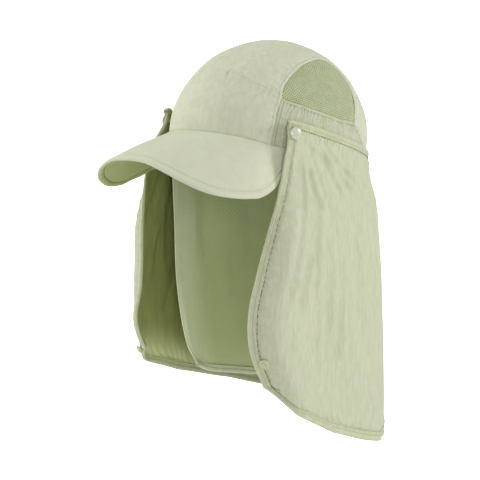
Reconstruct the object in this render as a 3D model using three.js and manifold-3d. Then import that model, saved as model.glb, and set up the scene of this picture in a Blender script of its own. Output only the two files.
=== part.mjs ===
import * as THREE from 'three';
import { mergeVertices } from 'three/addons/utils/BufferGeometryUtils.js';
import Module from 'manifold-3d';

// Legionnaire cap, worn, in millimetres with +Z up.
// The peak points to -Y and the wearer's left is +X.
// The origin is the middle of the head opening, level with the widest part of the crown.

// Crown, measured over the cloth
const crownLength = 200;
const crownWidth = 168;
const crownHeight = 92;
const crownTuckDepth = 75;
const crownRoundness = 2.02;

// Cloth walls and the clearances between pieces
const wovenWall = 1.2;
const meshWall = 1.4;
const seamGap = 0.35;
const clearance = 0.4;

// Peak
const billReach = 72;
const billSideFlare = 4.5;
const billDrop = 41;
const billThickness = 3;
const billCrown = 2.5;

// Neck flap
const flapDrop = 288;
const flapSideFlare = 16;
const flapBackFlare = 7;
const flapCornerAngle = 60;
const flapCornerHeight = 24;
const flapTopSlope = 17;
const flapStandOff = 7;
const frontCurl = 22;
const frontCurlLength = 20;

// Binding tape round the flap
const tapeWidth = 7.5;
const topTapeWidth = 6;
const tapeThickness = 1;

// Inner curtain and its hem
const curtainFrontDrop = 219;
const curtainBackDrop = 246;
const curtainInset = 2;
const curtainSweep = 27;
const curtainOverlap = 9;
const curtainSeatGap = 1;
const curtainFrontAngle = 50;
const curtainHemWidth = 7;

// Gathers along the side bands
const gatherCount = 8;
const gatherDepth = 0.6;

// Snaps
const templeSnapDiameter = 10.5;
const lowerSnapDiameter = 9;
const snapDomeHeight = 2.2;
const snapPostDiameter = 3.6;
const snapSocketDiameter = 8.4;
const snapSocketThickness = 1.6;
const snapSides = 12;
const templeSnapPastTape = 1.8;
const templeSnapBelowTop = 10.3;
const lowerSnapPastTape = 2.8;
const lowerSnapHeights = { left: 36, right: 5 };
const capClearance = 0.6;

// Colours of the cloths and the snaps
const wovenColour = '#c6cab0';
const meshColour = '#afbd8e';
const tapeColour = '#bbc09c';
const curtainColour = '#98a97a';
const hemColour = '#c0c6ac';
const snapColour = '#c3c9a4';

const halfLength = crownLength / 2;
const halfWidth = crownWidth / 2;
const billHalfWidth = halfWidth + billSideFlare;
const flapHalfWidth = halfWidth + flapSideFlare;
const flapBackReach = halfLength + flapBackFlare;
const radians = THREE.MathUtils.degToRad;

// Side seam of the crown panel, from the front rim over the vent and down to the back rim.
// Shares of the crown's half length, half width and height.
const sideSeam = [
  { along: 0.66, across: 0.79, up: 0.01 },
  { along: 0.58, across: 0.79, up: 0.31 },
  { along: 0.5, across: 0.77, up: 0.48 },
  { along: 0.46, across: 0.725, up: 0.58 },
  { along: 0.37, across: 0.715, up: 0.645 },
  { along: 0.26, across: 0.69, up: 0.715 },
  { along: 0.13, across: 0.655, up: 0.775 },
  { along: -0.04, across: 0.615, up: 0.82 },
  { along: -0.18, across: 0.553, up: 0.819 },
  { along: -0.3, across: 0.54, up: 0.79 },
  { along: -0.382, across: 0.598, up: 0.711 },
  { along: -0.444, across: 0.681, up: 0.591 },
  { along: -0.431, across: 0.77, up: 0.479 },
  { along: -0.385, across: 0.86, up: 0.345 },
  { along: -0.32, across: 0.929, up: 0.192 },
  { along: -0.35, across: 0.945, up: 0.13 },
  { along: -0.42, across: 0.92, up: 0.04 },
  { along: -0.52, across: 0.87, up: -0.12 },
  { along: -0.6, across: 0.8, up: -0.27 },
];
const ventFrontRow = 2;
const ventTopFrontRow = 5.5;
const ventTopBackRow = 9.5;
const ventBackRow = 14;

// Seam between the vent and the band under it, front to back, in the same shares.
const ventSeam = [
  { along: 0.5, across: 0.77, up: 0.48 },
  { along: 0.45, across: 0.815, up: 0.445 },
  { along: 0.32, across: 0.885, up: 0.39 },
  { along: 0.2, across: 0.935, up: 0.34 },
  { along: 0.07, across: 0.965, up: 0.295 },
  { along: -0.07, across: 0.98, up: 0.245 },
  { along: -0.2, across: 0.97, up: 0.22 },
  { along: -0.32, across: 0.929, up: 0.192 },
];

// Rim under the band, front to back, and the rim's height at the front and the back centre.
const bandRim = [
  { along: 0.66, across: 0.79, up: 0.01 },
  { along: 0.4, across: 0.92, up: -0.05 },
  { along: 0.1, across: 0.995, up: -0.1 },
  { along: -0.25, across: 0.96, up: -0.19 },
  { along: -0.6, across: 0.8, up: -0.27 },
];
const frontRimHeight = 0.135;
const backRimHeight = -0.33;

// Edge of the peak, from the tip to the temple.
// Shares of the crown's half length, the peak's reach past it, its half width and its drop,
// and how much further out and higher the wearer's right edge lies, as the soft peak twists.
const billEdge = [
  { along: 1, reach: 1, across: 0, drop: 0.22, rightOut: 0, rightLift: 0 },
  { along: 1, reach: 0.995, across: 0.17, drop: 0.245, rightOut: 0, rightLift: 0.01 },
  { along: 1, reach: 0.975, across: 0.34, drop: 0.345, rightOut: 0.011, rightLift: 0.049 },
  { along: 1, reach: 0.875, across: 0.56, drop: 0.57, rightOut: 0.025, rightLift: 0.083 },
  { along: 1, reach: 0.745, across: 0.74, drop: 0.77, rightOut: 0.011, rightLift: 0.063 },
  { along: 1, reach: 0.6, across: 0.87, drop: 0.885, rightOut: -0.027, rightLift: 0.02 },
  { along: 1, reach: 0.36, across: 0.965, drop: 0.965, rightOut: -0.007, rightLift: -0.039 },
  { along: 1, reach: 0.1, across: 1, drop: 1, rightOut: 0.014, rightLift: -0.024 },
  { along: 0.97, reach: 0, across: 0.98, drop: 0.985, rightOut: 0.009, rightLift: 0.044 },
  { along: 0.88, reach: 0, across: 0.935, drop: 0.965, rightOut: 0, rightLift: 0.117 },
  { along: 0.78, reach: 0, across: 0.885, drop: 0.925, rightOut: 0, rightLift: 0.207 },
  { along: 0.68, reach: 0, across: 0.855, drop: 0.83, rightOut: 0, rightLift: 0.183 },
  { along: 0.58, reach: 0, across: 0.86, drop: 0.57, rightOut: 0, rightLift: 0.085 },
  { along: 0.485, reach: 0, across: 0.885, drop: 0.3, rightOut: 0, rightLift: 0 },
];

// Plan of the flap at each level, from its top edge to the hem.
// Shares of the half width and the back reach, with the roundness of the plan.
const flapLevels = [
  { level: 0, round: 2, side: 0.875, back: 0.91 },
  { level: 0.1, round: 2, side: 0.875, back: 0.92 },
  { level: 0.19, round: 2.05, side: 0.895, back: 0.925 },
  { level: 0.3, round: 2.15, side: 0.945, back: 0.935 },
  { level: 0.45, round: 2.25, side: 0.985, back: 0.95 },
  { level: 0.55, round: 2.3, side: 0.99, back: 0.96 },
  { level: 0.65, round: 2.3, side: 0.99, back: 0.975 },
  { level: 0.75, round: 2.3, side: 0.99, back: 0.985 },
  { level: 0.87, round: 2.3, side: 0.995, back: 0.995 },
  { level: 1, round: 2.3, side: 1, back: 1 },
];

// Front edges of the flap at each level, which differ between the two sides.
// Shares of the flap's half width and of the crown's half length.
const flapFronts = [
  { level: 0, edgeLeft: 0.79, frontLeft: 0.54, edgeRight: 0.79, frontRight: 0.54 },
  { level: 0.1, edgeLeft: 0.79, frontLeft: 0.61, edgeRight: 0.815, frontRight: 0.69 },
  { level: 0.19, edgeLeft: 0.8, frontLeft: 0.69, edgeRight: 0.84, frontRight: 0.83 },
  { level: 0.3, edgeLeft: 0.785, frontLeft: 0.805, edgeRight: 0.77, frontRight: 0.95 },
  { level: 0.45, edgeLeft: 0.77, frontLeft: 0.955, edgeRight: 0.75, frontRight: 0.985 },
  { level: 0.55, edgeLeft: 0.745, frontLeft: 1.015, edgeRight: 0.77, frontRight: 0.985 },
  { level: 0.65, edgeLeft: 0.74, frontLeft: 0.985, edgeRight: 0.8, frontRight: 0.945 },
  { level: 0.75, edgeLeft: 0.765, frontLeft: 0.85, edgeRight: 0.83, frontRight: 0.81 },
  { level: 0.87, edgeLeft: 0.79, frontLeft: 0.7, edgeRight: 0.84, frontRight: 0.66 },
  { level: 1, edgeLeft: 0.81, frontLeft: 0.6, edgeRight: 0.86, frontRight: 0.56 },
];

// Depth of the hem below the origin round each side, as a share of the flap's drop.
// The wearer's right side hangs higher.
const hemLevels = [
  { around: 0, left: 0.735, right: 0.69 },
  { around: 0.09, left: 0.825, right: 0.745 },
  { around: 0.24, left: 0.9, right: 0.795 },
  { around: 0.48, left: 0.965, right: 0.85 },
  { around: 0.66, left: 0.985, right: 0.89 },
  { around: 0.83, left: 0.985, right: 0.93 },
  { around: 1, left: 0.965, right: 0.965 },
];

// Soft folds of the hanging cloth, as shares of its half perimeter and its height.
// A fold runs from its upper to its lower place, and its depth is in millimetres outwards.
const flapFolds = [
  { side: 1, topAround: 0.1, lowAround: 0.42, top: 0.02, low: 0.75, width: 0.05, depth: 2.2 },
  { side: 1, topAround: 0.07, lowAround: 0.2, top: 0.05, low: 0.95, width: 0.045, depth: 2 },
  { side: 1, topAround: 0.3, lowAround: 0.55, top: 0.1, low: 1, width: 0.06, depth: 1.8 },
  { side: 1, topAround: 0.62, lowAround: 0.7, top: 0.05, low: 1, width: 0.06, depth: 2.4 },
  { side: -1, topAround: 0.1, lowAround: 0.3, top: 0.05, low: 0.9, width: 0.05, depth: 2 },
  { side: -1, topAround: 0.35, lowAround: 0.45, top: 0.1, low: 1, width: 0.06, depth: 2 },
  { side: -1, topAround: 0.65, lowAround: 0.66, top: 0.05, low: 1, width: 0.06, depth: 2.2 },
];
const hemRippleDepth = 1.6;
const hemRipples = 9;

// Grid sizes of the cloths
const panelAcross = 12;
const ventGrid = 8;
const bandAcross = 4;
const billAcross = 24;
const billAlong = 5;
const flapCell = 12;
const flapFineCells = 2;
const flapRows = 13;
const curtainColumns = 26;
const curtainRows = 7;

const wasm = await Module();
wasm.setup();

// Smooth value of one column of a table at a fractional row.
function tableValue(rows, column, row) {
  const last = rows.length - 1;
  const at = Math.min(Math.max(row, 0), last);
  const base = Math.min(Math.floor(at), last - 1);
  const t = at - base;
  const pick = (index) => rows[Math.min(Math.max(index, 0), last)][column];
  const [a, b, c, d] = [pick(base - 1), pick(base), pick(base + 1), pick(base + 2)];
  const slope = (c - a) / 2;
  const nextSlope = (d - b) / 2;
  const bend = 3 * (c - b) - 2 * slope - nextSlope;
  const twist = 2 * (b - c) + slope + nextSlope;
  return b + t * (slope + t * (bend + t * twist));
}

// Fractional row of a table at which its key column has the given value.
function tableRow(rows, key, value) {
  const last = rows.length - 1;
  for (let index = 0; index < last; index += 1) {
    if (value <= rows[index + 1][key]) {
      const span = rows[index + 1][key] - rows[index][key];
      return index + Math.max(0, (value - rows[index][key]) / span);
    }
  }
  return last;
}

function smoothStep(from, to, value) {
  const t = Math.min(Math.max((value - from) / (to - from), 0), 1);
  return t * t * (3 - 2 * t);
}

// How far a point lies from the crown's middle, with 1 on the outer face of the cloth.
function crownMeasure(point) {
  const height = point.z > 0 ? crownHeight : crownTuckDepth;
  const sum = (Math.abs(point.y) / halfLength) ** crownRoundness
    + (Math.abs(point.x) / halfWidth) ** crownRoundness
    + (Math.abs(point.z) / height) ** crownRoundness;
  return sum ** (1 / crownRoundness);
}

function onCrown(point) {
  return point.clone().divideScalar(crownMeasure(point));
}

function crownNormal(point) {
  const height = point.z > 0 ? crownHeight : crownTuckDepth;
  const part = (value, size) => (
    Math.sign(value) * Math.abs(value / size) ** (crownRoundness - 1) / size
  );
  return new THREE.Vector3(
    part(point.x, halfWidth),
    part(point.y, halfLength),
    part(point.z, height),
  ).normalize();
}

// Point of the crown in plan direction (x, y) at one height, moved out by a distance.
function crownAtHeight(x, y, z, distance) {
  const height = z > 0 ? crownHeight : crownTuckDepth;
  const left = 1 - (Math.abs(z) / height) ** crownRoundness;
  const plan = (Math.abs(y) / halfLength) ** crownRoundness
    + (Math.abs(x) / halfWidth) ** crownRoundness;
  const scale = (left / plan) ** (1 / crownRoundness);
  const point = new THREE.Vector3(x * scale, y * scale, z);
  const outward = crownNormal(point);
  outward.z = 0;
  return point.addScaledVector(outward.normalize(), distance);
}

function seamPoint(rows, row, side) {
  return onCrown(new THREE.Vector3(
    side * tableValue(rows, 'across', row) * halfWidth,
    -tableValue(rows, 'along', row) * halfLength,
    tableValue(rows, 'up', row) * crownHeight,
  ));
}

// Height of the rim in the middle panel, from the side seam to the front or back centre.
function rimPoint(front, across) {
  const end = front ? 0 : sideSeam.length - 1;
  const corner = seamPoint(sideSeam, end, 1);
  const middleHeight = (front ? frontRimHeight : backRimHeight) * crownHeight;
  const share = Math.abs(across);
  const sideAngle = Math.atan2(corner.x, Math.abs(corner.y));
  const angle = share * sideAngle * Math.sign(across);
  const z = THREE.MathUtils.lerp(middleHeight, corner.z, share * share);
  return crownAtHeight(Math.sin(angle), front ? -Math.cos(angle) : Math.cos(angle), z, 0);
}

// Closed solid from an outer and an inner grid of points with the same rows and columns.
function solidFromGrids(outer, inner) {
  const rows = outer.length;
  const columns = outer[0].length;
  const positions = [];
  for (const grid of [outer, inner]) {
    for (const line of grid) {
      for (const point of line) {
        positions.push(point.x, point.y, point.z);
      }
    }
  }
  const half = rows * columns;
  const triangles = [];
  const corner = (index) => new THREE.Vector3().fromArray(positions, index * 3);
  const quad = (a, b, c, d) => triangles.push(a, b, c, a, c, d);
  const face = (a, b, c, d, turned) => (turned ? quad(b, c, d, a) : quad(a, b, c, d));
  for (let row = 0; row < rows - 1; row += 1) {
    for (let column = 0; column < columns - 1; column += 1) {
      const a = row * columns + column;
      const b = a + 1;
      const c = b + columns;
      const d = a + columns;
      const turned = corner(b).distanceTo(corner(d)) < corner(a).distanceTo(corner(c));
      face(a, b, c, d, turned);
      face(half + a, half + d, half + c, half + b, turned);
    }
  }
  const rim = [];
  for (let column = 0; column < columns; column += 1) {
    rim.push(column);
  }
  for (let row = 1; row < rows; row += 1) {
    rim.push(row * columns + columns - 1);
  }
  for (let column = columns - 2; column >= 0; column -= 1) {
    rim.push((rows - 1) * columns + column);
  }
  for (let row = rows - 2; row > 0; row -= 1) {
    rim.push(row * columns);
  }
  rim.forEach((from, index) => {
    const to = rim[(index + 1) % rim.length];
    quad(to, from, half + from, half + to);
  });
  return outwardGeometry(positions, triangles);
}

// Geometry whose faces point outwards, turned over if the grid ran the other way.
function outwardGeometry(positions, triangles) {
  let volume = 0;
  const corner = (index) => new THREE.Vector3().fromArray(positions, index * 3);
  for (let index = 0; index < triangles.length; index += 3) {
    const [a, b, c] = [0, 1, 2].map((step) => corner(triangles[index + step]));
    volume += a.dot(b.cross(c));
  }
  if (volume < 0) {
    triangles.reverse();
  }
  const geometry = new THREE.BufferGeometry();
  geometry.setAttribute('position', new THREE.Float32BufferAttribute(positions, 3));
  geometry.setIndex(triangles);
  return mergeVertices(geometry, 1e-4);
}

// Outward unit normals of a grid of points, away from a point inside.
function gridNormals(grid, outwardOf) {
  const rows = grid.length;
  const columns = grid[0].length;
  return grid.map((line, row) => line.map((point, column) => {
    const down = grid[Math.min(row + 1, rows - 1)][column].clone()
      .sub(grid[Math.max(row - 1, 0)][column]);
    const across = grid[row][Math.min(column + 1, columns - 1)].clone()
      .sub(grid[row][Math.max(column - 1, 0)]);
    const normal = down.cross(across).normalize();
    return normal.dot(outwardOf(point)) < 0 ? normal.negate() : normal;
  }));
}

function offsetGrid(grid, normals, distance) {
  return grid.map((line, row) => line.map((point, column) => (
    point.clone().addScaledVector(normals[row][column], distance)
  )));
}

function range(count) {
  return Array.from({ length: count + 1 }, (_, index) => index / count);
}

// Lengths along a run of points, up to each of them.
function runLengths(points) {
  const lengths = [0];
  for (let index = 1; index < points.length; index += 1) {
    lengths.push(lengths[index - 1] + points[index].distanceTo(points[index - 1]));
  }
  return lengths;
}

// Patch of the crown between four seams.
function crownPatch(bottom, top, left, right, across, along) {
  const corners = [bottom(0), bottom(1), top(0), top(1)];
  return range(along).map((v) => range(across).map((u) => {
    const point = bottom(u).multiplyScalar(1 - v).addScaledVector(top(u), v)
      .addScaledVector(left(v), 1 - u).addScaledVector(right(v), u);
    point.addScaledVector(corners[0], -(1 - u) * (1 - v));
    point.addScaledVector(corners[1], -u * (1 - v));
    point.addScaledVector(corners[2], -(1 - u) * v);
    point.addScaledVector(corners[3], -u * v);
    return onCrown(point);
  }));
}

// Grid with its border moved in by a distance, square to the border.
function trimGrid(grid, distance) {
  const lastRow = grid.length - 1;
  const lastColumn = grid[0].length - 1;
  return grid.map((line, row) => line.map((point, column) => {
    const innerRow = Math.min(Math.max(row, 1), lastRow - 1);
    const innerColumn = Math.min(Math.max(column, 1), lastColumn - 1);
    const rowEdge = innerRow !== row;
    const columnEdge = innerColumn !== column;
    if (!rowEdge && !columnEdge) {
      return point.clone();
    }
    if (rowEdge && columnEdge) {
      const a = grid[innerRow][column].clone().sub(point).normalize();
      const b = grid[row][innerColumn].clone().sub(point).normalize();
      const halfAngle = Math.max(0.3, a.angleTo(b) / 2);
      return point.clone().addScaledVector(a.add(b).normalize(), distance / Math.sin(halfAngle));
    }
    const before = rowEdge ? grid[row][column - 1] : grid[row - 1][column];
    const after = rowEdge ? grid[row][column + 1] : grid[row + 1][column];
    const border = after.clone().sub(before).normalize();
    const step = grid[innerRow][innerColumn].clone().sub(point);
    step.addScaledVector(border, -step.dot(border)).normalize();
    return point.clone().addScaledVector(step, distance);
  }));
}

function crownSheet(wholeGrid, wall, raise = () => 0) {
  const grid = trimGrid(wholeGrid, seamGap / 2);
  const rows = grid.length - 1;
  const columns = grid[0].length - 1;
  const outer = grid.map((line, row) => line.map((point, column) => (
    point.clone().addScaledVector(crownNormal(point), raise(column / columns, row / rows))
  )));
  const inner = outer.map((line) => line.map((point) => (
    point.clone().addScaledVector(crownNormal(point), -wall)
  )));
  return solidFromGrids(outer, inner);
}

function between(from, to) {
  return (share) => THREE.MathUtils.lerp(from, to, share);
}

// Rows of the side seam at which the panels on both its sides have their corners.
const lastSeamRow = sideSeam.length - 1;
const seamRows = [
  ...range(bandAcross).map(between(0, ventFrontRow)),
  ...range(ventGrid).slice(1).map(between(ventFrontRow, ventTopFrontRow)),
  ...range(ventGrid).slice(1).map(between(ventTopFrontRow, ventTopBackRow)),
  ...range(ventGrid).slice(1).map(between(ventTopBackRow, ventBackRow)),
  ...range(bandAcross).slice(1).map(between(ventBackRow, lastSeamRow)),
];

// Crown panel: rows run from the front rim over the top to the back rim.
function crownPanelGeometry() {
  const front = rimPoint(true, 0);
  const back = rimPoint(false, 0);
  const frontAngle = Math.atan2(front.z, -front.y);
  const backAngle = Math.PI - Math.atan2(back.z, back.y);
  const seam = seamRows.map((row) => seamPoint(sideSeam, row, 1));
  const lengths = runLengths(seam);
  const grid = seam.map((edge, index) => {
    const share = lengths[index] / lengths[lengths.length - 1];
    const angle = THREE.MathUtils.lerp(frontAngle, backAngle, share);
    const middle = onCrown(new THREE.Vector3(0, -Math.cos(angle), Math.sin(angle)));
    return range(panelAcross).map((u) => {
      const across = 2 * u - 1;
      if (share === 0 || share === 1) {
        return rimPoint(share === 0, across);
      }
      const corner = new THREE.Vector3(edge.x * Math.sign(across), edge.y, edge.z);
      return onCrown(middle.clone().lerp(corner, Math.abs(across)));
    });
  });
  return crownSheet(grid, wovenWall);
}

function ventGeometry(side) {
  const seam = (row) => seamPoint(sideSeam, row, side);
  const grid = crownPatch(
    (u) => seamPoint(ventSeam, u * (ventSeam.length - 1), side),
    (u) => seam(THREE.MathUtils.lerp(ventTopFrontRow, ventTopBackRow, u)),
    (v) => seam(THREE.MathUtils.lerp(ventFrontRow, ventTopFrontRow, v)),
    (v) => seam(THREE.MathUtils.lerp(ventBackRow, ventTopBackRow, v)),
    ventGrid,
    ventGrid,
  );
  return crownSheet(grid, meshWall);
}

function bandGeometry(side) {
  const seam = (row) => seamPoint(sideSeam, row, side);
  const gathers = (u, v) => {
    const fade = Math.sin(Math.PI * u) * Math.sin(Math.PI * v);
    return -gatherDepth * fade * (0.5 - 0.5 * Math.cos(2 * Math.PI * gatherCount * u));
  };
  const grid = crownPatch(
    (u) => seamPoint(bandRim, u * (bandRim.length - 1), side),
    (u) => seamPoint(ventSeam, u * (ventSeam.length - 1), side),
    (v) => seam(ventFrontRow * v),
    (v) => seam(THREE.MathUtils.lerp(lastSeamRow, ventBackRow, v)),
    gatherCount * 3,
    bandAcross,
  );
  return crownSheet(grid, wovenWall, gathers);
}

// Front rim from the centre to the temple, and on along the band's rim under the flap.
function billRoot(share) {
  const turn = 0.8;
  const across = Math.abs(share);
  const side = Math.sign(share) || 1;
  const point = across <= turn
    ? rimPoint(true, across / turn)
    : seamPoint(bandRim, (across - turn) / (1 - turn), 1);
  const outward = crownNormal(point);
  outward.z = 0;
  point.addScaledVector(outward.normalize(), clearance);
  point.x *= side;
  return point;
}

function billGeometry() {
  const last = billEdge.length - 1;
  const middle = range(billAlong).map((v) => range(billAcross).map((u) => {
    const share = 2 * u - 1;
    const root = billRoot(share);
    const row = Math.abs(share) * last;
    const right = share < 0 ? 1 : 0;
    const across = tableValue(billEdge, 'across', row) + right * tableValue(billEdge, 'rightOut', row);
    const drop = tableValue(billEdge, 'drop', row) - right * tableValue(billEdge, 'rightLift', row);
    const edge = new THREE.Vector3(
      Math.sign(share) * across * billHalfWidth,
      -tableValue(billEdge, 'along', row) * halfLength
        - tableValue(billEdge, 'reach', row) * billReach,
      -drop * billDrop,
    );
    const point = root.clone().lerp(edge, v);
    point.z += billCrown * Math.sin(Math.PI * v) * (1 - share * share);
    return point;
  }));
  const normals = gridNormals(middle, () => new THREE.Vector3(0, 0, 1));
  const half = (v) => billThickness / 2 * (v === 1 ? 0.45 : 1);
  const face = (sign) => middle.map((line, row) => line.map((point, column) => (
    point.clone().addScaledVector(normals[row][column], sign * half(row / billAlong))
  )));
  return solidFromGrids(face(1), face(-1));
}

// Plan of one side of the flap at a level, evenly spaced from the front edge to the back.
function flapPlan(wearerSide, level) {
  const row = tableRow(flapLevels, 'level', level);
  const frontRow = tableRow(flapFronts, 'level', level);
  const suffix = wearerSide > 0 ? 'Left' : 'Right';
  const side = tableValue(flapLevels, 'side', row) * flapHalfWidth;
  const back = tableValue(flapLevels, 'back', row) * flapBackReach;
  const round = tableValue(flapLevels, 'round', row);
  const edge = tableValue(flapFronts, `edge${suffix}`, frontRow) * flapHalfWidth;
  const front = tableValue(flapFronts, `front${suffix}`, frontRow) * halfLength;
  const points = [];
  const curl = frontCurl * smoothStep(0.1, 0.4, level);
  for (const share of range(30)) {
    const forward = front * (1 - share);
    const into = Math.max(0, forward - front + frontCurlLength) / frontCurlLength;
    const lean = (side - edge - curl) * (forward / front) ** 2;
    points.push(new THREE.Vector2(side - lean - curl * into ** 2, -forward));
  }
  for (const share of range(40).slice(1)) {
    const angle = share * Math.PI / 2;
    points.push(new THREE.Vector2(
      side * Math.max(0, Math.cos(angle)) ** (2 / round),
      back * Math.sin(angle) ** (2 / round),
    ));
  }
  return points;
}

// Point at a share of the length of a run of points.
function alongRun(points, share) {
  const lengths = runLengths(points);
  const wanted = share * lengths[lengths.length - 1];
  let index = 1;
  while (index < points.length - 1 && lengths[index] < wanted) {
    index += 1;
  }
  const part = (wanted - lengths[index - 1]) / (lengths[index] - lengths[index - 1]);
  return points[index - 1].clone().lerp(points[index], part);
}

// Height of the flap's top edge at a place along the head.
function flapTopHeight(forward) {
  const cornerForward = Math.cos(radians(flapCornerAngle)) * halfLength;
  return flapCornerHeight - (cornerForward - forward) * Math.tan(radians(flapTopSlope));
}

// Distance from the crown to the middle of the flap's cloth along its top edge.
const flapSeat = wovenWall / 2 + clearance + tapeThickness + clearance;

// Run of the top edge round one side of the crown, from the temple to the back.
function flapTopRun() {
  return range(40).map((share) => {
    const angle = THREE.MathUtils.lerp(radians(flapCornerAngle), Math.PI, share);
    const x = Math.sin(angle) * halfWidth;
    const y = -Math.cos(angle) * halfLength;
    const stand = flapSeat + flapStandOff * (1 - smoothStep(0, 0.22, share));
    return crownAtHeight(x, y, flapTopHeight(-y), stand);
  });
}

const topRun = flapTopRun();

// Middle of the flap's cloth: around is 0 at the front edge and 1 at the back centre.
function flapPoint(side, around, down) {
  const top = alongRun(topRun, around);
  const hemRow = tableRow(hemLevels, 'around', around);
  const hem = -flapDrop * tableValue(hemLevels, side > 0 ? 'left' : 'right', hemRow);
  const z = THREE.MathUtils.lerp(top.z, hem, down);
  const level = Math.max(0, Math.min(1, (flapCornerHeight - z) / (flapCornerHeight + flapDrop)));
  const plan = alongRun(flapPlan(side, level), around);
  const hanging = smoothStep(0, 0.14, down);
  const x = THREE.MathUtils.lerp(top.x, plan.x, hanging);
  const y = THREE.MathUtils.lerp(top.y, plan.y, hanging);
  const outward = new THREE.Vector2(x / halfWidth, y / halfLength).normalize();
  const push = foldHeight(side, around, down);
  return new THREE.Vector3(side * (x + outward.x * push), y + outward.y * push, z);
}

function foldHeight(side, around, down) {
  let push = 0;
  for (const fold of flapFolds) {
    if (fold.side === side) {
      const run = (down - fold.top) / (fold.low - fold.top);
      const centre = THREE.MathUtils.lerp(fold.topAround, fold.lowAround, run);
      const away = (around - centre) / fold.width;
      const fade = smoothStep(fold.top, fold.top + 0.15, down)
        * (1 - smoothStep(fold.low - 0.2, fold.low + 0.1, down));
      push += fold.depth * Math.exp(-away * away) * fade;
    }
  }
  const ripple = Math.sin(around * hemRipples * Math.PI) * Math.sin(around * Math.PI);
  return push + hemRippleDepth * ripple * smoothStep(0.75, 1, down);
}

// Shares along a line whose first and last cells are as wide as the tapes.
function taped(length, first, last, cells) {
  const inner = range(cells - 2).map((share) => (
    (first + share * (length - first - last)) / length
  ));
  return [0, ...inner, 1];
}

// Shares round one side of the flap, with narrow cells at the curled front edge.
function flapColumns() {
  const length = alongRunLength(flapPlan(1, 0.5));
  const places = [0, tapeWidth];
  for (let cell = 1; cell <= flapFineCells; cell += 1) {
    places.push(tapeWidth * (1 + cell));
  }
  const start = places[places.length - 1];
  const cells = Math.round((length - start) / flapCell);
  places.push(...range(cells).slice(1).map(between(start, length)));
  return places.map((place) => place / length);
}

// Grid of the whole flap, from the left front edge round the back to the right one.
function flapGrid() {
  const columns = flapColumns();
  const leftSide = columns.map((around) => ({ side: 1, around }));
  const rightSide = columns.slice(0, -1).reverse().map((around) => ({ side: -1, around }));
  const places = [...leftSide, ...rightSide];
  const lengths = places.map((place) => (
    flapPoint(place.side, place.around, 0).z - flapPoint(place.side, place.around, 1).z
  ));
  return range(flapRows).map((_, row) => places.map((place, column) => {
    const down = taped(lengths[column], topTapeWidth, tapeWidth, flapRows)[row];
    return flapPoint(place.side, place.around, down);
  }));
}

function alongRunLength(points) {
  return points.slice(1).reduce((sum, point, index) => sum + point.distanceTo(points[index]), 0);
}

const flap = flapGrid();
const flapNormals = gridNormals(flap, (point) => new THREE.Vector3(point.x, point.y, 0));

function flapCloth() {
  return solidFromGrids(
    offsetGrid(flap, flapNormals, wovenWall / 2),
    offsetGrid(flap, flapNormals, -wovenWall / 2),
  );
}

// Tape folded over an edge: each station has an edge point, a point inside and a normal.
function foldedTape(stations, sheetWall, thickness, width) {
  const near = sheetWall / 2 + clearance;
  const far = near + thickness;
  const outer = [];
  const inner = [];
  for (const { edge, inside, edgeNormal, insideNormal } of stations) {
    const inward = inside.clone().sub(edge).normalize();
    const length = width ?? inside.distanceTo(edge);
    const place = (reach, offset) => {
      const share = Math.max(0, reach) / inside.distanceTo(edge);
      const normal = edgeNormal.clone().lerp(insideNormal, share).normalize();
      return edge.clone().addScaledVector(inward, reach).addScaledVector(normal, offset);
    };
    outer.push([
      place(length, far),
      place(0, far),
      place(-clearance - thickness, 0),
      place(0, -far),
      place(length, -far),
    ]);
    inner.push([
      place(length, near),
      place(0, near),
      place(-clearance, 0),
      place(0, -near),
      place(length, -near),
    ]);
  }
  return solidFromGrids(outer, inner);
}

function flapStation(row, column, insideRow, insideColumn) {
  return {
    edge: flap[row][column],
    inside: flap[insideRow][insideColumn],
    edgeNormal: flapNormals[row][column],
    insideNormal: flapNormals[insideRow][insideColumn],
  };
}

function edgeTapeGeometry() {
  const lastRow = flap.length - 1;
  const lastColumn = flap[0].length - 1;
  const stations = [];
  for (let row = 0; row < lastRow; row += 1) {
    stations.push(flapStation(row, 0, row, 1));
  }
  stations.push(flapStation(lastRow, 0, lastRow - 1, 1));
  for (let column = 1; column < lastColumn; column += 1) {
    stations.push(flapStation(lastRow, column, lastRow - 1, column));
  }
  stations.push(flapStation(lastRow, lastColumn, lastRow - 1, lastColumn - 1));
  for (let row = lastRow - 1; row >= 0; row -= 1) {
    stations.push(flapStation(row, lastColumn, row, lastColumn - 1));
  }
  return foldedTape(stations, wovenWall, tapeThickness);
}

function topTapeGeometry() {
  const lastColumn = flap[0].length - 1;
  const stations = [];
  for (let column = 1; column < lastColumn; column += 1) {
    stations.push(flapStation(0, column, 1, column));
  }
  const butt = (station, next) => {
    const step = next.edge.clone().sub(station.edge).setLength(clearance);
    station.edge = station.edge.clone().add(step);
    station.inside = station.inside.clone().add(step);
  };
  butt(stations[0], stations[1]);
  butt(stations[stations.length - 1], stations[stations.length - 2]);
  return foldedTape(stations, wovenWall, tapeThickness);
}

// Rim of the crown on the left side, from the curtain's front edge to the back centre.
function curtainRim() {
  const band = range(20).map((u) => seamPoint(bandRim, u * (bandRim.length - 1), 1));
  const back = range(10).slice(1).map((u) => rimPoint(false, 1 - u));
  const frontEdge = Math.cos(radians(curtainFrontAngle)) * halfLength;
  return [...band, ...back].filter((point) => point.y > -frontEdge);
}

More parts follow.
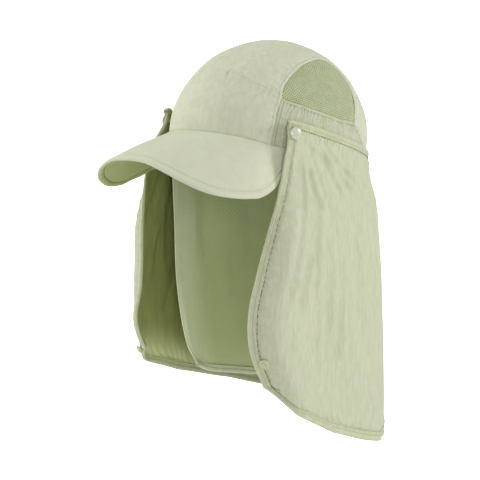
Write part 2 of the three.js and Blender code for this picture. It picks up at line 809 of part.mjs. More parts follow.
// Inner curtain: hangs from just inside the crown's rim, from temple to temple.
function curtainGrid() {
  const seat = -(wovenWall + curtainSeatGap + meshWall / 2);
  const rim = curtainRim();
  const lines = range(curtainColumns).map((share) => {
    const turn = 2 * share - 1;
    const hung = alongRun(rim, 1 - Math.abs(turn));
    const topHeight = hung.z + curtainOverlap;
    const hem = -THREE.MathUtils.lerp(curtainBackDrop, curtainFrontDrop, Math.abs(turn) ** 1.5);
    return taped(topHeight - hem, curtainOverlap, curtainHemWidth, curtainRows).map((down) => {
      const z = THREE.MathUtils.lerp(topHeight, hem, down);
      const height = Math.max(z, hung.z);
      const inset = curtainInset * smoothStep(0, 0.3, down);
      const face = crownNormal(crownAtHeight(hung.x, hung.y, height, 0));
      const upright = Math.hypot(face.x, face.y);
      const point = crownAtHeight(hung.x, hung.y, height, seat / upright - inset);
      point.x *= -Math.sign(turn);
      point.y += curtainSweep * smoothStep(0.6, 1, Math.abs(turn)) * down ** 4.5;
      point.z = z;
      return point;
    });
  });
  return range(curtainRows).map((_, row) => lines.map((line) => line[row]));
}

const curtain = curtainGrid();
const curtainNormals = gridNormals(curtain, (point) => new THREE.Vector3(point.x, point.y, 0));

function curtainCloth() {
  return solidFromGrids(
    offsetGrid(curtain, curtainNormals, meshWall / 2),
    offsetGrid(curtain, curtainNormals, -meshWall / 2),
  );
}

function curtainHemGeometry() {
  const last = curtain.length - 1;
  const stations = curtain[last].map((edge, column) => ({
    edge,
    inside: curtain[last - 1][column],
    edgeNormal: curtainNormals[last][column],
    insideNormal: curtainNormals[last - 1][column],
  }));
  return foldedTape(stations, meshWall, tapeThickness);
}

// Place on the flap: a distance in from the front edge and one down from the top or up from the hem.
function flapPlace(side, inset, fromTop, fromHem) {
  const column = (index) => (side > 0 ? index : flap[0].length - 1 - index);
  const share = (inset - tapeWidth) / tapeWidth;
  const line = flap.map((row) => row[column(1)].clone().lerp(row[column(2)], share));
  const lengths = runLengths(line);
  const total = lengths[lengths.length - 1];
  const wanted = fromTop ?? total - fromHem;
  const point = alongRun(line, wanted / total);
  const row = Math.max(0, lengths.findIndex((length) => length > wanted) - 1);
  const down = flap[row + 1][column(1)].clone().sub(flap[row][column(1)]);
  const across = flap[row][column(2)].clone().sub(flap[row][column(1)]);
  const normal = down.cross(across).normalize();
  if (normal.dot(new THREE.Vector3(point.x, point.y, 0)) < 0) {
    normal.negate();
  }
  return { point, normal };
}

// Distance from a place on the flap, straight in, to where a disc would meet the crown.
function crownDepth({ point, normal }, radius) {
  const sideways = new THREE.Vector3(0, 0, 1).cross(normal).normalize();
  const upwards = normal.clone().cross(sideways);
  let least = Infinity;
  for (const turn of range(8)) {
    const angle = turn * 2 * Math.PI;
    const start = point.clone().addScaledVector(sideways, Math.cos(angle) * radius)
      .addScaledVector(upwards, Math.sin(angle) * radius);
    let depth = 0;
    while (crownMeasure(start.clone().addScaledVector(normal, -depth)) > 1 && depth < halfWidth) {
      depth += 0.05;
    }
    least = Math.min(least, depth);
  }
  return least;
}

// Snap: a domed cap outside the cloth, a post through it and a socket inside.
function snapGeometry(place, diameter, depth) {
  const capSeat = wovenWall / 2 + clearance + tapeThickness + capClearance;
  const radius = diameter / 2;
  const post = snapPostDiameter / 2;
  const socket = snapSocketDiameter / 2;
  const profile = [
    new THREE.Vector2(0, -depth),
    new THREE.Vector2(socket, -depth),
    new THREE.Vector2(socket, -depth + snapSocketThickness),
    new THREE.Vector2(post, -depth + snapSocketThickness),
    new THREE.Vector2(post, capSeat),
    new THREE.Vector2(radius * 0.94, capSeat),
    new THREE.Vector2(radius, capSeat + snapDomeHeight * 0.3),
    new THREE.Vector2(radius * 0.82, capSeat + snapDomeHeight * 0.75),
    new THREE.Vector2(radius * 0.45, capSeat + snapDomeHeight * 0.97),
    new THREE.Vector2(0, capSeat + snapDomeHeight),
  ];
  return placeOnAxis(new THREE.LatheGeometry(profile, snapSides), place);
}

// Turns a shape from the Y axis to a place's normal and moves it there.
function placeOnAxis(geometry, { point, normal }) {
  const turn = new THREE.Quaternion().setFromUnitVectors(new THREE.Vector3(0, 1, 0), normal);
  geometry.applyQuaternion(turn);
  geometry.translate(point.x, point.y, point.z);
  geometry.deleteAttribute('normal');
  geometry.deleteAttribute('uv');
  return mergeVertices(geometry, 1e-4);
}

function toSolid(geometry) {
  return new wasm.Manifold(new wasm.Mesh({
    numProp: 3,
    vertProperties: new Float32Array(geometry.getAttribute('position').array),
    triVerts: new Uint32Array(geometry.index.array),
  }));
}

function fromSolid(solid) {
  const mesh = solid.getMesh();
  const geometry = new THREE.BufferGeometry();
  geometry.setAttribute('position', new THREE.Float32BufferAttribute(mesh.vertProperties, 3));
  geometry.setIndex([...mesh.triVerts]);
  return geometry;
}

// Cloth or tape with a hole for the post of each snap.
function withPostHoles(geometry, places) {
  const holeLength = 4 * (wovenWall + clearance + tapeThickness);
  let solid = toSolid(geometry);
  for (const place of places) {
    const hole = new THREE.CylinderGeometry(
      snapPostDiameter / 2 + clearance,
      snapPostDiameter / 2 + clearance,
      holeLength,
      snapSides,
    );
    solid = solid.subtract(toSolid(placeOnAxis(hole, place)));
  }
  return fromSolid(solid);
}

const sides = [['left', 1], ['right', -1]];
const templePlaces = sides.map(([, side]) => (
  flapPlace(side, tapeWidth + templeSnapPastTape, templeSnapBelowTop)
));
const lowerPlaces = sides.map(([suffix, side]) => (
  flapPlace(side, tapeWidth + lowerSnapPastTape, undefined, lowerSnapHeights[suffix])
));
const snapPlaces = [...templePlaces, ...lowerPlaces];

const group = new THREE.Group();

function addPiece(name, geometry, colour, roughness = 0.85) {
  const material = new THREE.MeshStandardMaterial({ color: colour, roughness, metalness: 0 });
  const mesh = new THREE.Mesh(geometry, material);
  mesh.name = name;
  group.add(mesh);
}

addPiece('crown_panel', crownPanelGeometry(), wovenColour);
for (const [suffix, side] of sides) {
  addPiece(`vent_${suffix}`, ventGeometry(side), meshColour);
  addPiece(`band_${suffix}`, bandGeometry(side), wovenColour);
}
addPiece('bill', billGeometry(), wovenColour);
addPiece('neck_flap', withPostHoles(flapCloth(), snapPlaces), wovenColour);
addPiece('flap_edge_tape', withPostHoles(edgeTapeGeometry(), snapPlaces), tapeColour);
addPiece('flap_top_tape', topTapeGeometry(), tapeColour);
addPiece('neck_curtain', curtainCloth(), curtainColour);
addPiece('curtain_hem', curtainHemGeometry(), hemColour);
sides.forEach(([suffix], index) => {
  const temple = templePlaces[index];
  const templeReach = crownDepth(temple, snapSocketDiameter / 2) - clearance;
  const lowerReach = wovenWall / 2 + clearance + tapeThickness + clearance + snapSocketThickness;
  const templeSnap = snapGeometry(temple, templeSnapDiameter, templeReach);
  const lowerSnap = snapGeometry(lowerPlaces[index], lowerSnapDiameter, lowerReach);
  addPiece(`temple_snap_${suffix}`, templeSnap, snapColour, 0.3);
  addPiece(`lower_snap_${suffix}`, lowerSnap, snapColour, 0.4);
});

export default group;
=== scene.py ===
import math

import bmesh
import bpy
import numpy as np
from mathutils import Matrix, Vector, noise


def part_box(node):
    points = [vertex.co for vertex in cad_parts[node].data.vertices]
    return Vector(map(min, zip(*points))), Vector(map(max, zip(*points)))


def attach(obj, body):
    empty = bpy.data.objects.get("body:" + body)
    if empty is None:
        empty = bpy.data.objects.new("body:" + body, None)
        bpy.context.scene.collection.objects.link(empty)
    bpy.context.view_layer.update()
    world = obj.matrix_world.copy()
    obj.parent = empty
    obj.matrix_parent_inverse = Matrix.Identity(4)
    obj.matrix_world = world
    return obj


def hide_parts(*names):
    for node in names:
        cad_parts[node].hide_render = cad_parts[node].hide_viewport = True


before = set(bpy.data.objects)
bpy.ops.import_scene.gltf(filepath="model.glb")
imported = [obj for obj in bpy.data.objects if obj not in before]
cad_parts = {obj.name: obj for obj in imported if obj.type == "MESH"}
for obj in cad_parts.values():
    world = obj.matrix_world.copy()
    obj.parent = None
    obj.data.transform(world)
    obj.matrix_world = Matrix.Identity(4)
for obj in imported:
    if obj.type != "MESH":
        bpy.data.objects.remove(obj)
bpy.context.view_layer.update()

# The crown panel is one length of pale sage crinkled nylon, from the peak over the top to the nape.
# It is cut in at the sides for the vents, turned in at its seams and topstitched beside them.
# A short seam runs in from each vent across the forehead and ends in a bar tack.
crown_length = 0.200
crown_width = 0.168
crown_height = 0.092
crown_tuck_depth = 0.075
crown_roundness = 2.02
woven_wall = 0.0012
stitch_pitch = 0.0026
thread_width = 0.0004
seam_stitch_inset = 0.0036
dart_stitch_inset = 0.0016
weave_pitch = 0.0005
seam_groove = 0.0005
seam_roll = 0.0001
seam_pucker = 0.0003
dart_groove = 0.00032
stitch_groove = 0.00018
crown_columns = 150
crown_rows = 230
half_width = crown_width / 2
half_length = crown_length / 2


def table(columns, rows):
    """Named columns of numbers, a row for each section."""
    return dict(zip(columns.split(), np.array(rows, float).T))


def each_row(rows):
    """The rows of a table one by one, with their columns by name."""
    return [dict(zip(rows, values)) for values in zip(*rows.values())]


# Side seam from the front rim over the vent to the back rim, in shares of the crown's
# half length, half width and height
side_seam = table("along across up", [
    (0.66, 0.79, 0.01),
    (0.58, 0.79, 0.31),
    (0.5, 0.77, 0.48),
    (0.455, 0.745, 0.575),
    (0.37, 0.715, 0.645),
    (0.26, 0.69, 0.715),
    (0.13, 0.655, 0.775),
    (-0.04, 0.615, 0.82),
    (-0.18, 0.553, 0.819),
    (-0.3, 0.54, 0.79),
    (-0.382, 0.598, 0.711),
    (-0.444, 0.681, 0.591),
    (-0.431, 0.77, 0.479),
    (-0.385, 0.86, 0.345),
    (-0.32, 0.929, 0.192),
    (-0.35, 0.945, 0.13),
    (-0.42, 0.92, 0.04),
    (-0.52, 0.87, -0.12),
    (-0.6, 0.8, -0.27),
])
vent_front_row = 2
vent_back_row = 14
last_seam_row = 18
front_rim_height = 0.135
back_rim_height = -0.33


def table_value(rows, column, row):
    """Smooth value of one column of a table at fractional rows."""
    values = rows[column]
    last = len(values) - 1
    at = np.clip(np.asarray(row, float), 0, last)
    base = np.minimum(np.floor(at).astype(int), last - 1)
    t = at - base
    a, b, c, d = (values[np.clip(base + step, 0, last)] for step in (-1, 0, 1, 2))
    slope, next_slope = (c - a) / 2, (d - b) / 2
    bend = 3 * (c - b) - 2 * slope - next_slope
    twist = 2 * (b - c) + slope + next_slope
    return b + t * (slope + t * (bend + t * twist))


def vectors(*parts):
    return np.stack(np.broadcast_arrays(*parts), -1).astype(float)


def mixed(a, b, share):
    return a + (b - a) * np.asarray(share)[..., None]


def unit(points):
    return points / np.maximum(np.linalg.norm(points, axis=-1, keepdims=True), 1e-12)


def smooth_step(low, high, value):
    t = np.clip((value - low) / (high - low), 0, 1)
    return t * t * (3 - 2 * t)


def bump(value, width):
    return np.exp(-((value / width) ** 2))


def crown_sizes(points):
    height = np.where(points[..., 2] > 0, crown_height, crown_tuck_depth)
    return vectors(half_width, half_length, height)


def on_crown(points):
    """Points moved along their line from the origin onto the crown."""
    shares = np.abs(points / crown_sizes(points)) ** crown_roundness
    return points / (shares.sum(-1) ** (1 / crown_roundness))[..., None]


def crown_normal(points):
    sizes = crown_sizes(points)
    shares = points / sizes
    return unit(np.sign(shares) * np.abs(shares) ** (crown_roundness - 1) / sizes)


def level_normal(points):
    """Outward direction of the crown in plan."""
    return unit(crown_normal(points) * np.array([1, 1, 0]))


def crown_at_height(x, y, z, distance):
    """Points of the crown in a plan direction at one height, moved out by a distance."""
    height = np.where(z > 0, crown_height, crown_tuck_depth)
    left = 1 - (np.abs(z) / height) ** crown_roundness
    plan = (np.abs(y) / half_length) ** crown_roundness + (np.abs(x) / half_width) ** crown_roundness
    scale = (left / plan) ** (1 / crown_roundness)
    points = vectors(x * scale, y * scale, z)
    return points + level_normal(points) * np.asarray(distance)[..., None]


def seam_point(rows, row, side):
    return on_crown(vectors(
        side * table_value(rows, "across", row) * half_width,
        -table_value(rows, "along", row) * half_length,
        table_value(rows, "up", row) * crown_height,
    ))


def rim_point(front, across):
    """Rim of the crown panel at the front or the back, from the centre to the side seam."""
    corner = seam_point(side_seam, 0 if front else last_seam_row, 1)
    middle_height = (front_rim_height if front else back_rim_height) * crown_height
    angle = across * math.atan2(corner[0], abs(corner[1]))
    height = middle_height + (corner[2] - middle_height) * across ** 2
    ahead = -np.cos(angle) if front else np.cos(angle)
    return crown_at_height(np.sin(angle), ahead, height, np.zeros_like(height))


def run_lengths(points):
    """Lengths along runs of points, up to each of them."""
    steps = np.linalg.norm(np.diff(points, axis=0), axis=-1)
    return np.concatenate([np.zeros_like(steps[:1]), np.cumsum(steps, 0)])


def across_lengths(points):
    """Lengths along the rows of a grid of points, up to each of them."""
    return run_lengths(points.swapaxes(0, 1)).swapaxes(0, 1)


def cloth_noise(points, size, seed):
    """Smooth noise from -1 to 1 whose features have the given size."""
    places = points / np.asarray(size) + np.array([seed * 7.3, seed * 3.1, seed * 5.7])
    return np.array([noise.noise(place) for place in places.reshape(-1, 3)]).reshape(points.shape[:-1])


def grid_shell(points):
    """Mesh through a grid of points, with the row and the column of each of its vertices."""
    rows, columns = points.shape[:2]
    shell = bmesh.new()
    bmesh.ops.create_grid(shell, x_segments=columns - 1, y_segments=rows - 1, size=0.5)
    spots = np.array([vert.co for vert in shell.verts])
    column = np.rint((spots[:, 0] + 0.5) * (columns - 1)).astype(int)
    row = np.rint((spots[:, 1] + 0.5) * (rows - 1)).astype(int)
    for vert, place in zip(shell.verts, points[row, column]):
        vert.co = place
    return shell, row, column


def smooth_piece(name, shell, materials):
    """Piece in the scene with the shape of a bmesh, shaded smooth."""
    mesh = bpy.data.meshes.new(name)
    shell.to_mesh(mesh)
    shell.free()
    mesh.polygons.foreach_set("use_smooth", [True] * len(mesh.polygons))
    for material in materials:
        mesh.materials.append(material)
    piece = bpy.data.objects.new(name, mesh)
    bpy.context.scene.collection.objects.link(piece)
    return piece


def cloth_from_grid(name, points, marks, wall, offset, materials):
    """Sheet of cloth through a grid of points, with its marks as attributes and a real wall.

    The UV map holds lengths on the cloth, in metres, so that weaves and stitches keep their size.
    """
    shell, row, column = grid_shell(points)
    bmesh.ops.recalc_face_normals(shell, faces=shell.faces)
    shell.normal_update()
    wanted = marks.pop("outward")[row, column]
    facing = sum(vert.normal.dot(Vector(way)) for vert, way in zip(shell.verts, wanted))
    if facing < 0:
        bmesh.ops.reverse_faces(shell, faces=shell.faces)
    piece = smooth_piece(name, shell, materials)
    mesh = piece.data
    middle = points.shape[1] // 2
    across = across_lengths(points)
    across = across - across[:, middle:middle + 1]
    flat = np.stack([across, run_lengths(points)], -1)[row, column]
    loops = np.empty(len(mesh.loops), np.int32)
    mesh.loops.foreach_get("vertex_index", loops)
    mesh.uv_layers.new(name="cloth").data.foreach_set("uv", flat[loops].ravel())
    for label, values in marks.items():
        layer = mesh.attributes.new(label, "FLOAT", "POINT")
        layer.data.foreach_set("value", values[row, column].astype(np.float32))
    thickness = piece.modifiers.new("wall", "SOLIDIFY")
    thickness.thickness = wall
    thickness.offset = offset
    thickness.material_offset = len(materials) - 1
    return piece


def srgb(red, green, blue):
    """Linear colour of an sRGB colour given from 0 to 255."""
    parts = [value / 255 for value in (red, green, blue)]
    linear = [p / 12.92 if p <= 0.04045 else ((p + 0.055) / 1.055) ** 2.4 for p in parts]
    return (*linear, 1)


def shaded(colour, share):
    """The same colour, darker or lighter."""
    return [min(1, part * share) for part in colour[:3]] + [1]


class Nodes:
    """Shorthand for adding and joining nodes in one tree."""

    def __init__(self, tree):
        self.tree = tree

    def add(self, kind, settings=None, **inputs):
        node = self.tree.nodes.new(kind)
        for name, value in (settings or {}).items():
            setattr(node, name, value)
        for name, value in inputs.items():
            key = int(name[1:]) if name[1:].isdigit() else name.replace("_", " ")
            self.join(value, node.inputs[key])
        return node

    def join(self, value, socket):
        if isinstance(value, bpy.types.NodeSocket):
            self.tree.links.new(value, socket)
        else:
            socket.default_value = value

    def calc(self, operation, *values):
        node = self.tree.nodes.new("ShaderNodeMath")
        node.operation = operation
        for value, socket in zip(values, node.inputs):
            self.join(value, socket)
        return node.outputs[0]

    def times(self, first, second):
        return self.calc("MULTIPLY", first, second)

    def plus(self, first, second):
        return self.calc("ADD", first, second)

    def minus(self, first, second):
        return self.calc("SUBTRACT", first, second)

    def over(self, first, second):
        return self.calc("DIVIDE", first, second)

    def blend(self, share, first, second, kind="RGBA"):
        node = self.tree.nodes.new("ShaderNodeMix")
        node.data_type = kind
        wanted = "RGBA" if kind == "RGBA" else "VALUE"
        pair = [socket for socket in node.inputs if socket.type == wanted][-2:]
        self.join(share, node.inputs[0])
        self.join(first, pair[0])
        self.join(second, pair[1])
        return next(socket for socket in node.outputs if socket.type == wanted)

    def ramp(self, value, low, high):
        """Share from 0 to 1 as a value goes smoothly from low to high."""
        node = self.add("ShaderNodeMapRange", {"interpolation_type": "SMOOTHSTEP"})
        for item, socket in zip((value, low, high, 0.0, 1.0), node.inputs):
            self.join(item, socket)
        return node.outputs[0]


def node_group(name, inputs, outputs):
    """Shader node group with float or vector inputs and float outputs."""
    tree = bpy.data.node_groups.new(name, "ShaderNodeTree")
    for label, kind in inputs.items():
        tree.interface.new_socket(label, in_out="INPUT", socket_type=kind)
    for label in outputs:
        tree.interface.new_socket(label, in_out="OUTPUT", socket_type="NodeSocketFloat")
    nodes = Nodes(tree)
    return nodes, nodes.add("NodeGroupInput").outputs, nodes.add("NodeGroupOutput").inputs


def use_group(nodes, name, **inputs):
    node = nodes.add("ShaderNodeGroup", {"node_tree": bpy.data.node_groups[name]})
    for label, value in inputs.items():
        nodes.join(value, node.inputs[label.replace("_", " ")])
    return node.outputs


number, vector = "NodeSocketFloat", "NodeSocketVector"

# Plain weave: warp and weft threads pass over each other in turn
weave, given, result = node_group("plain weave", {"Cloth": vector, "Pitch": number}, ["Height"])
threads = weave.add("ShaderNodeVectorMath", {"operation": "DIVIDE"}, i0=given["Cloth"])
pitches = weave.add("ShaderNodeCombineXYZ", X=given["Pitch"], Y=given["Pitch"], Z=1.0)
weave.join(pitches.outputs[0], threads.inputs[1])
place = weave.add("ShaderNodeSeparateXYZ", i0=threads.outputs[0]).outputs
warp = weave.calc("ABSOLUTE", weave.calc("SINE", weave.times(place[0], math.pi)))
weft = weave.calc("ABSOLUTE", weave.calc("SINE", weave.times(place[1], math.pi)))
turn = weave.plus(weave.calc("FLOOR", place[0]), weave.calc("FLOOR", place[1]))
turn = weave.calc("PINGPONG", turn, 1.0)
weave.join(weave.blend(turn, warp, weft, "FLOAT"), result["Height"])

# Crinkle of washed nylon: short soft creases that run mostly down the cloth
crinkle, given, result = node_group(
    "nylon crinkle", {"Place": vector, "Size": number, "Length": number}, ["Height", "Streaks"])
stretch = crinkle.add("ShaderNodeCombineXYZ", X=given["Size"], Y=given["Size"], Z=given["Length"])
scaled = crinkle.add("ShaderNodeVectorMath", {"operation": "DIVIDE"},
                     i0=given["Place"], i1=stretch.outputs[0])
coarse = crinkle.add("ShaderNodeTexNoise", {"noise_dimensions": "3D"}, Vector=scaled.outputs[0],
                     Scale=1.0, Detail=4.0, Roughness=0.62, Distortion=0.6)
double = crinkle.add("ShaderNodeVectorMath", {"operation": "SCALE"}, i0=scaled.outputs[0], Scale=2.7)
fine = crinkle.add("ShaderNodeTexNoise", {"noise_dimensions": "3D"}, Vector=double.outputs[0],
                   Scale=1.0, Detail=2.0, Roughness=0.5, Distortion=1.2)
ridge = crinkle.calc("ABSOLUTE", crinkle.minus(coarse.outputs[0], 0.5))
ridge = crinkle.minus(1.0, crinkle.times(ridge, 4.0))
height = crinkle.plus(crinkle.times(ridge, 0.45), crinkle.times(fine.outputs[0], 0.55))
crinkle.join(height, result["Height"])
crinkle.join(coarse.outputs[0], result["Streaks"])

# Row of stitches: a thread that dips into the cloth between its stitches; Hole Shade is a mask of painted
# shade in the stitch holes
stitch, given, result = node_group(
    "stitch row", {"Off": number, "Run": number, "Pitch": number, "Width": number}, ["Dip", "Thread", "Hole Shade"])
beside = stitch.over(given["Off"], given["Width"])
near = stitch.ramp(stitch.calc("ABSOLUTE", beside), 1.0, 0.3)
wide = stitch.ramp(stitch.calc("ABSOLUTE", beside), 3.2, 0.4)
step = stitch.calc("FRACT", stitch.over(given["Run"], given["Pitch"]))
middle = stitch.calc("ABSOLUTE", stitch.minus(step, 0.5))
thread = stitch.times(near, stitch.ramp(middle, 0.42, 0.3))
hole_shade = stitch.times(near, stitch.ramp(middle, 0.4, 0.48))
stitch.join(wide, result["Dip"])
stitch.join(thread, result["Thread"])
stitch.join(hole_shade, result["Hole Shade"])

# Puckers: small ripples square to a seam, each tucked in at the stitch line; Tuck Shade is a mask of painted
# shade in the tucks
pucker, given, result = node_group(
    "seam puckers", {"Off": number, "Run": number, "Pitch": number, "Reach": number}, ["Height", "Tuck Shade"])
drift = pucker.add("ShaderNodeTexNoise", {"noise_dimensions": "1D"},
                   W=pucker.times(given["Run"], 90.0), Scale=1.0, Detail=2.0)
phase = pucker.plus(pucker.over(given["Run"], given["Pitch"]), pucker.times(drift.outputs[0], 1.6))
wave = pucker.calc("MULTIPLY_ADD", pucker.calc("SINE", pucker.times(phase, 2 * math.pi)), 0.5, 0.5)
fade = pucker.calc("POWER", pucker.ramp(given["Off"], given["Reach"], 0.0), 1.5)
inside = pucker.ramp(given["Off"], -0.001, 0.0006)
strength = pucker.times(pucker.ramp(drift.outputs[0], 0.3, 0.6), pucker.times(fade, inside))
pucker.join(pucker.times(wave, strength), result["Height"])
at_line = pucker.ramp(pucker.calc("ABSOLUTE", given["Off"]), 0.0011, 0.0003)
pucker.join(pucker.times(at_line, pucker.ramp(wave, 0.55, 0.15)), result["Tuck Shade"])


def new_material(name, roughness, sheen=0.0):
    """Material, the shorthand for its nodes and the sockets of its shader."""
    material = bpy.data.materials.new(name)
    material.use_nodes = True
    shader = material.node_tree.nodes["Principled BSDF"]
    shader.inputs["Roughness"].default_value = roughness
    shader.inputs["Sheen Weight"].default_value = sheen
    shader.inputs["Sheen Roughness"].default_value = 0.5
    shader.inputs["Specular IOR Level"].default_value = 0.25
    return material, Nodes(material.node_tree), shader.inputs


def mark(nodes, label):
    return nodes.add("ShaderNodeAttribute", {"attribute_name": label}).outputs["Fac"]


def relief(nodes, shader, height, distance, strength=1.0):
    bent = nodes.add("ShaderNodeBump", Strength=strength, Distance=distance, Height=height)
    nodes.join(bent.outputs[0], shader["Normal"])


def woven_nylon(name, pale, deep, crease_size=0.0042, crease_length=0.011, crease_depth=0.0006,
                seams=(), puckers=(), painted_light_ramp=None):
    """Matt crinkled nylon with its weave, creases, rows of stitches and puckers beside its seams."""
    material, nodes, shader = new_material(name, 0.82, 0.08)
    coordinates = nodes.add("ShaderNodeTexCoord").outputs
    creases = use_group(nodes, "nylon crinkle", Place=coordinates["Object"],
                        Size=crease_size, Length=crease_length)
    weaves = use_group(nodes, "plain weave", Cloth=coordinates["UV"], Pitch=weave_pitch)
    shade = nodes.ramp(creases["Streaks"], 0.3, 0.68)
    tone = nodes.blend(shade, deep, pale)
    height = nodes.plus(nodes.times(creases["Height"], 0.85), nodes.times(weaves["Height"], 0.1))
    for off, run, pitch, width in seams:
        rows = use_group(nodes, "stitch row", Off=mark(nodes, off), Run=mark(nodes, run),
                         Pitch=pitch, Width=width)
        # painted shade: the stitch holes are darkened in the colour
        tone = nodes.blend(nodes.times(rows["Hole Shade"], 0.5), tone, shaded(deep, 0.42))
        height = nodes.minus(height, nodes.times(rows["Dip"], 0.45))
        height = nodes.plus(height, nodes.times(rows["Thread"], 0.3))
    for off, run, pitch, reach, depth, tuck_shade in puckers:
        ripples = use_group(nodes, "seam puckers", Off=mark(nodes, off), Run=mark(nodes, run),
                            Pitch=pitch, Reach=reach)
        # painted shade: the tucks of the puckers are darkened in the colour
        tone = nodes.blend(nodes.times(ripples["Tuck Shade"], tuck_shade), tone, shaded(deep, 0.35))
        height = nodes.plus(height, nodes.times(ripples["Height"], depth / crease_depth))
    # painted light: the colour is blended paler towards a mark, standing in for light falling there
    if painted_light_ramp:
        label, far, near, paler = painted_light_ramp
        tone = nodes.blend(nodes.ramp(mark(nodes, label), far, near), tone, paler)
    nodes.join(tone, shader["Base Color"])
    relief(nodes, shader, height, crease_depth)
    return material


crown_nylon = woven_nylon("pale sage nylon", srgb(214, 216, 193), srgb(205, 208, 180),
                          seams=[("stitch_off", "stitch_run", stitch_pitch, thread_width),
                                 ("dart_off", "dart_run", stitch_pitch, thread_width)],
                          puckers=[("stitch_off", "stitch_run", 0.0042, 0.006, 0.0003, 0.0)])
# painted shade: the inner faces of the nylon get a darker olive colour that stands in for the shade inside
# the cap
inner_nylon_painted_shade = woven_nylon("inside of the nylon, painted olive shade", srgb(152, 158, 106), srgb(142, 149, 96))

# Seam across the forehead, from its bar tack to the vent's front corner
forehead_seam = table("along across up", [
    (0.694, 0.199, 0.696),
    (0.672, 0.344, 0.66),
    (0.626, 0.514, 0.595),
    (0.579, 0.608, 0.548),
    (0.51, 0.71, 0.51),
])
bar_tack = table("along across up", [(0.744, 0.228, 0.63), (0.676, 0.193, 0.714)])

# Short creases that the flap's weight and the seams pull into the cloth in front of each temple
temple_pulls = table("along_a across_a up_a along_b across_b up_b width height", [
    (0.497, 0.853, 0.149, 0.624, 0.778, 0.105, 0.0016, 0.0007),
    (0.491, 0.845, 0.206, 0.616, 0.755, 0.238, 0.0014, 0.0006),
    (0.513, 0.856, 0.102, 0.655, 0.756, 0.038, 0.0018, 0.0008),
    (0.505, 0.85, 0.125, 0.65, 0.765, 0.07, 0.0012, -0.0006),
    (0.495, 0.848, 0.178, 0.62, 0.765, 0.17, 0.0012, -0.0006),
    (0.47, 0.85, 0.244, 0.57, 0.76, 0.322, 0.0014, 0.0005),
    (0.48, 0.847, 0.226, 0.59, 0.757, 0.28, 0.0012, -0.0005),
    (0.471, 0.749, 0.472, 0.565, 0.636, 0.529, 0.0012, 0.0003),
    (0.507, 0.761, 0.416, 0.617, 0.667, 0.417, 0.0013, 0.0003),
    (0.54, 0.769, 0.35, 0.643, 0.697, 0.323, 0.0013, 0.00035),
    (0.606, 0.772, 0.2, 0.708, 0.685, 0.163, 0.0015, 0.0004),
])


def line_distance(points, line):
    """Distance of each point from a line of short stretches, and the run along it to the nearest place."""
    starts, ends = line[:-1], line[1:]
    lengths = run_lengths(line)
    best = np.full(points.shape[:-1], 1.0)
    run = np.zeros(points.shape[:-1])
    for start, end, before in zip(starts, ends, lengths):
        stretch = end - start
        share = np.clip(((points - start) @ stretch) / (stretch @ stretch), 0, 1)
        away = np.linalg.norm(points - (start + share[..., None] * stretch), axis=-1)
        run = np.where(away < best, before + share * np.linalg.norm(stretch), run)
        best = np.minimum(best, away)
    return best, run


def pulled_creases(points):
    """Lift of the creases in front of both temples."""
    lift = np.zeros(points.shape[:-1])
    for pull in each_row(temple_pulls):
        for side in (1, -1):
            ends = [on_crown(np.array([side * pull["across_" + end] * half_width,
                                       -pull["along_" + end] * half_length,
                                       pull["up_" + end] * crown_height])) for end in "ab"]
            line = on_crown(mixed(ends[0], ends[1], np.linspace(0, 1, 5)))
            off, run = line_distance(points, line)
            share = run / run_lengths(line)[-1]
            lift += pull["height"] * bump(off, pull["width"]) * (1 - smooth_step(0.45, 1, share))
    return lift


def crowded(count, ends):
    """Shares from 0 to 1 that lie closer together near both ends."""
    t = np.linspace(0, 1, count)
    return t - ends * np.sin(2 * math.pi * t) / (2 * math.pi)


seam_steps = np.linspace(0, last_seam_row, 400)
seam_run = run_lengths(seam_point(side_seam, seam_steps, 1))
front_angle, back_angle = [
    math.atan2(rim_point(front, np.array(0.0))[2], abs(rim_point(front, np.array(0.0))[1]))
    for front in (True, False)
]


def panel_arc(row, across):
    """Line of the crown panel from side seam to side seam at one row of the seam."""
    edge = seam_point(side_seam, row, 1)
    share = np.interp(row, seam_steps, seam_run) / seam_run[-1]
    angle = front_angle + (math.pi - back_angle - front_angle) * share
    middle = on_crown(vectors(0 * angle, -np.cos(angle), np.sin(angle)))
    corner = edge * vectors(np.sign(across), 1, 1)
    return on_crown(mixed(middle, corner, np.abs(across)))


panel_rows = np.interp(crowded(crown_rows, 0.35) * seam_run[-1], seam_run, seam_steps)
row, across = np.meshgrid(panel_rows, 2 * crowded(crown_columns, 0.6) - 1, indexing="ij")
panel = panel_arc(row, across)
front_row, back_row = vent_front_row / 4, last_seam_row - (last_seam_row - vent_back_row) / 4
for front, near_row in ((True, front_row), (False, back_row)):
    rim_row = 0 if front else last_seam_row
    share = (row - rim_row) / (near_row - rim_row)
    joined = on_crown(mixed(rim_point(front, across), panel_arc(np.full_like(row, near_row), across), share))
    panel = np.where((share < 1)[..., None], joined, panel)

